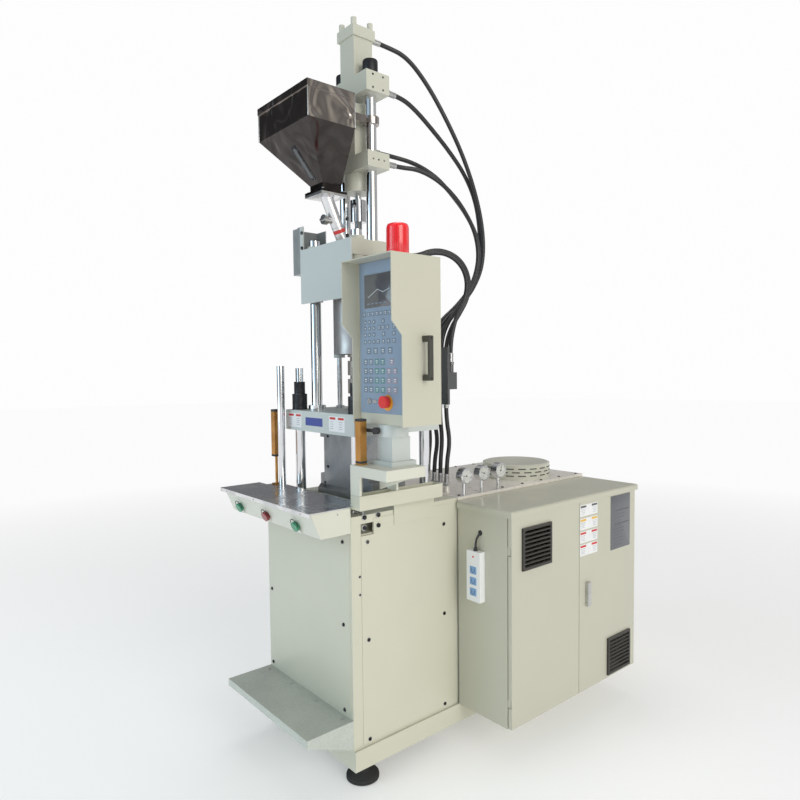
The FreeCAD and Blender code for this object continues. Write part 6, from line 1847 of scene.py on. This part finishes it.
@dataclass
class Feed:
    """Hopper seams, its sight slot, and the chute's bands and bolts."""

    slope: Spot = (0.0, -153.0, 184.0)
    sight: Spot = (3.0, 16.0, 2420.0)
    sight_size: tuple[float, float] = (34.0, 150.0)
    sight_screws: Sequence[float] = (-68.0, 68.0)
    corner_low: float = 2532.0
    corner_tall: float = 130.0
    hopper_deep: float = 214.0
    chute_top: Spot = (3.0, 122.0, 2310.0)
    chute_foot: Spot = (3.0, 213.0, 2113.0)
    bolt_x: Sequence[float] = (-50.0, 56.0)
    bolt_y: Sequence[float] = (72.0, 172.0)
    bolt_z: float = 2320.0


    def build(self) -> None:
        """Makes the feed's pieces."""
        hopper = Extent.of("hopper")
        stock = Stock()
        slope_up = Vector(self.slope).normalized()
        wide = Vector((1.0, 0.0, 0.0))
        normal = wide.cross(slope_up)
        place = placed(at(*self.sight), (wide, slope_up, normal))
        stock.add(pad(*self.sight_size, 1.6, 10.0, 0.5), place, 0)
        stock.add(pad(18.0, 128.0, 0.5, 7.0), place @ Matrix.Translation((0, 0, 1.6)), 1)
        for spot in self.sight_screws:
            stock.add(screw_head(2.6, 1.4), place @ Matrix.Translation((12.0, spot, 1.6)), 0)
        stock.piece("hopper_sight", [BLACK_OXIDE, SLATE], Body.CARRIAGE, "stainless")
        rim = Stock()
        for x in (hopper.left, hopper.right):
            for y in (hopper.front, hopper.front + self.hopper_deep):
                place = Facing.UP.at(x, y, self.corner_low)
                rim.add(disc(2.4, self.corner_tall, sides=12, edge=0.8), place, 0)
        rim.piece("hopper_corners", [BRIGHT_STEEL], Body.CARRIAGE, "stainless")
        self.chute()

    def chute(self) -> None:
        """Coloured bands round the chute, bolts of its flange."""
        start, end = at(*self.chute_top), at(*self.chute_foot)
        run = end - start
        stock = Stock()
        stock.add(ring(24.6, 25.5, 15.0, 0.2, 48), along(start + run * 0.66, run), 0)
        stock.add(ring(24.6, 25.9, 5.0, 0.2, 48), along(start + run * 0.60, run), 1)
        for x in self.bolt_x:
            for y in self.bolt_y:
                stock.add(disc(6.0, 4.6, sides=6, edge=0.6), Facing.UP.at(x, y, self.bolt_z), 1)
        stock.piece("chute_bands", [PRINT_RED, BRIGHT_STEEL], Body.CARRIAGE, "stainless")


@dataclass
class UpperUnit:
    """Screws of the crosshead, the bracket and the guard, and the rods' top nuts."""

    axis_y: float = 287.5
    port_z: float = 2762.0
    port_half: float = 26.0
    bracket_z: float = 2452.0
    bracket_steps: Sequence[float] = (-28.0, 0.0, 28.0)
    rod_x: float = 95.0
    nut_low: float = 2802.0
    nut_profile: Sequence[tuple[float, float]] = (
        (24.0, 0.0), (30.8, 0.0), (31.8, 2.0), (31.8, 58.0), (29.8, 62.4), (0.0, 62.4),
    )
    guard_x: float = 168.0
    guard_drops: Sequence[float] = (28.0, 92.0)

    def build(self) -> None:
        """Makes the upper unit's pieces."""
        stock = Stock()
        head, bracket = Extent.of("top_crosshead"), Extent.of("motor_bracket")
        for y in (self.axis_y - self.port_half, self.axis_y + self.port_half):
            for z in (self.port_z - self.port_half, self.port_z + self.port_half):
                stock.add(screw_head(4.2, 2.0), Facing.RIGHT.at(head.right, y, z), 0)
                stock.add(screw_head(4.2, 2.0), Facing.LEFT.at(head.left, y, z), 0)
        for step in self.bracket_steps:
            place = Facing.RIGHT.at(bracket.right, self.axis_y + step, self.bracket_z)
            stock.add(screw_head(3.6, 1.8), place, 0)
        for x in (-self.rod_x, self.rod_x):
            stock.add(turned(self.nut_profile, 40), Facing.UP.at(x, self.axis_y, self.nut_low), 0)
        guard = Extent.of("guard_plate")
        for x in (-self.guard_x, self.guard_x):
            for drop in self.guard_drops:
                place = Facing.FRONT.at(x, guard.front, guard.high - drop)
                stock.add(disc(8.0, 5.2, sides=6, edge=0.7), place, 0)
        stock.piece("upper_screws", [BLACK_OXIDE], Body.CARRIAGE, "black_steel")


@dataclass
class LightCurtain:
    """End caps of the light curtains: place across, foot and head of each."""

    spots: Sequence[tuple[float, float, float]] = ((-284.0, 1218.0, 1424.0), (345.0, 1252.0, 1415.0))
    y: float = 30.0
    wide: float = 30.0

    def build(self) -> None:
        """Makes the caps."""
        stock = Stock()
        size = self.wide + 1.6
        for x, low, high in self.spots:
            for z in (high - 9.0, low - 1.0):
                stock.add(block(size, size, 10.0, 2.0, 2), Facing.UP.at(x, self.y, z), 0)
        stock.piece("curtain_caps", [BLACK], Body.FRAME, "black_plastic")


class Machine:
    """The whole machine's looks, sub-assembly by sub-assembly."""

    def __init__(self) -> None:
        """Loads the frame."""
        self.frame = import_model()
        self.frame_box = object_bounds()

    def build(self) -> None:
        """Builds every sub-assembly in order."""
        studio = Studio()
        studio.camera()
        Effects.build()
        HoseSet(UPPER_HOSES, "upper_hoses", Body.CARRIAGE, Body.CLAMP, 1660.0).build()
        HoseSet(LOWER_HOSES, "lower_hoses", Body.CLAMP, Body.FRAME, 1100.0, 10.0).build()
        Dressing().build(self.frame["nodes"])
        for part in (
            Column(), Table(), Clamp(), ControlHead(), Gauges(), Cabinet(), Cowl(), Feed(), UpperUnit(),
            LightCurtain(),
        ):
            part.build()
            LOG.info("built %s", type(part).__name__)
        studio.build()


def main() -> None:
    """Builds the machine."""
    logging.basicConfig(level=logging.INFO, format="%(message)s")
    machine = Machine()
    machine.build()


if __name__ == "__main__":
    main()
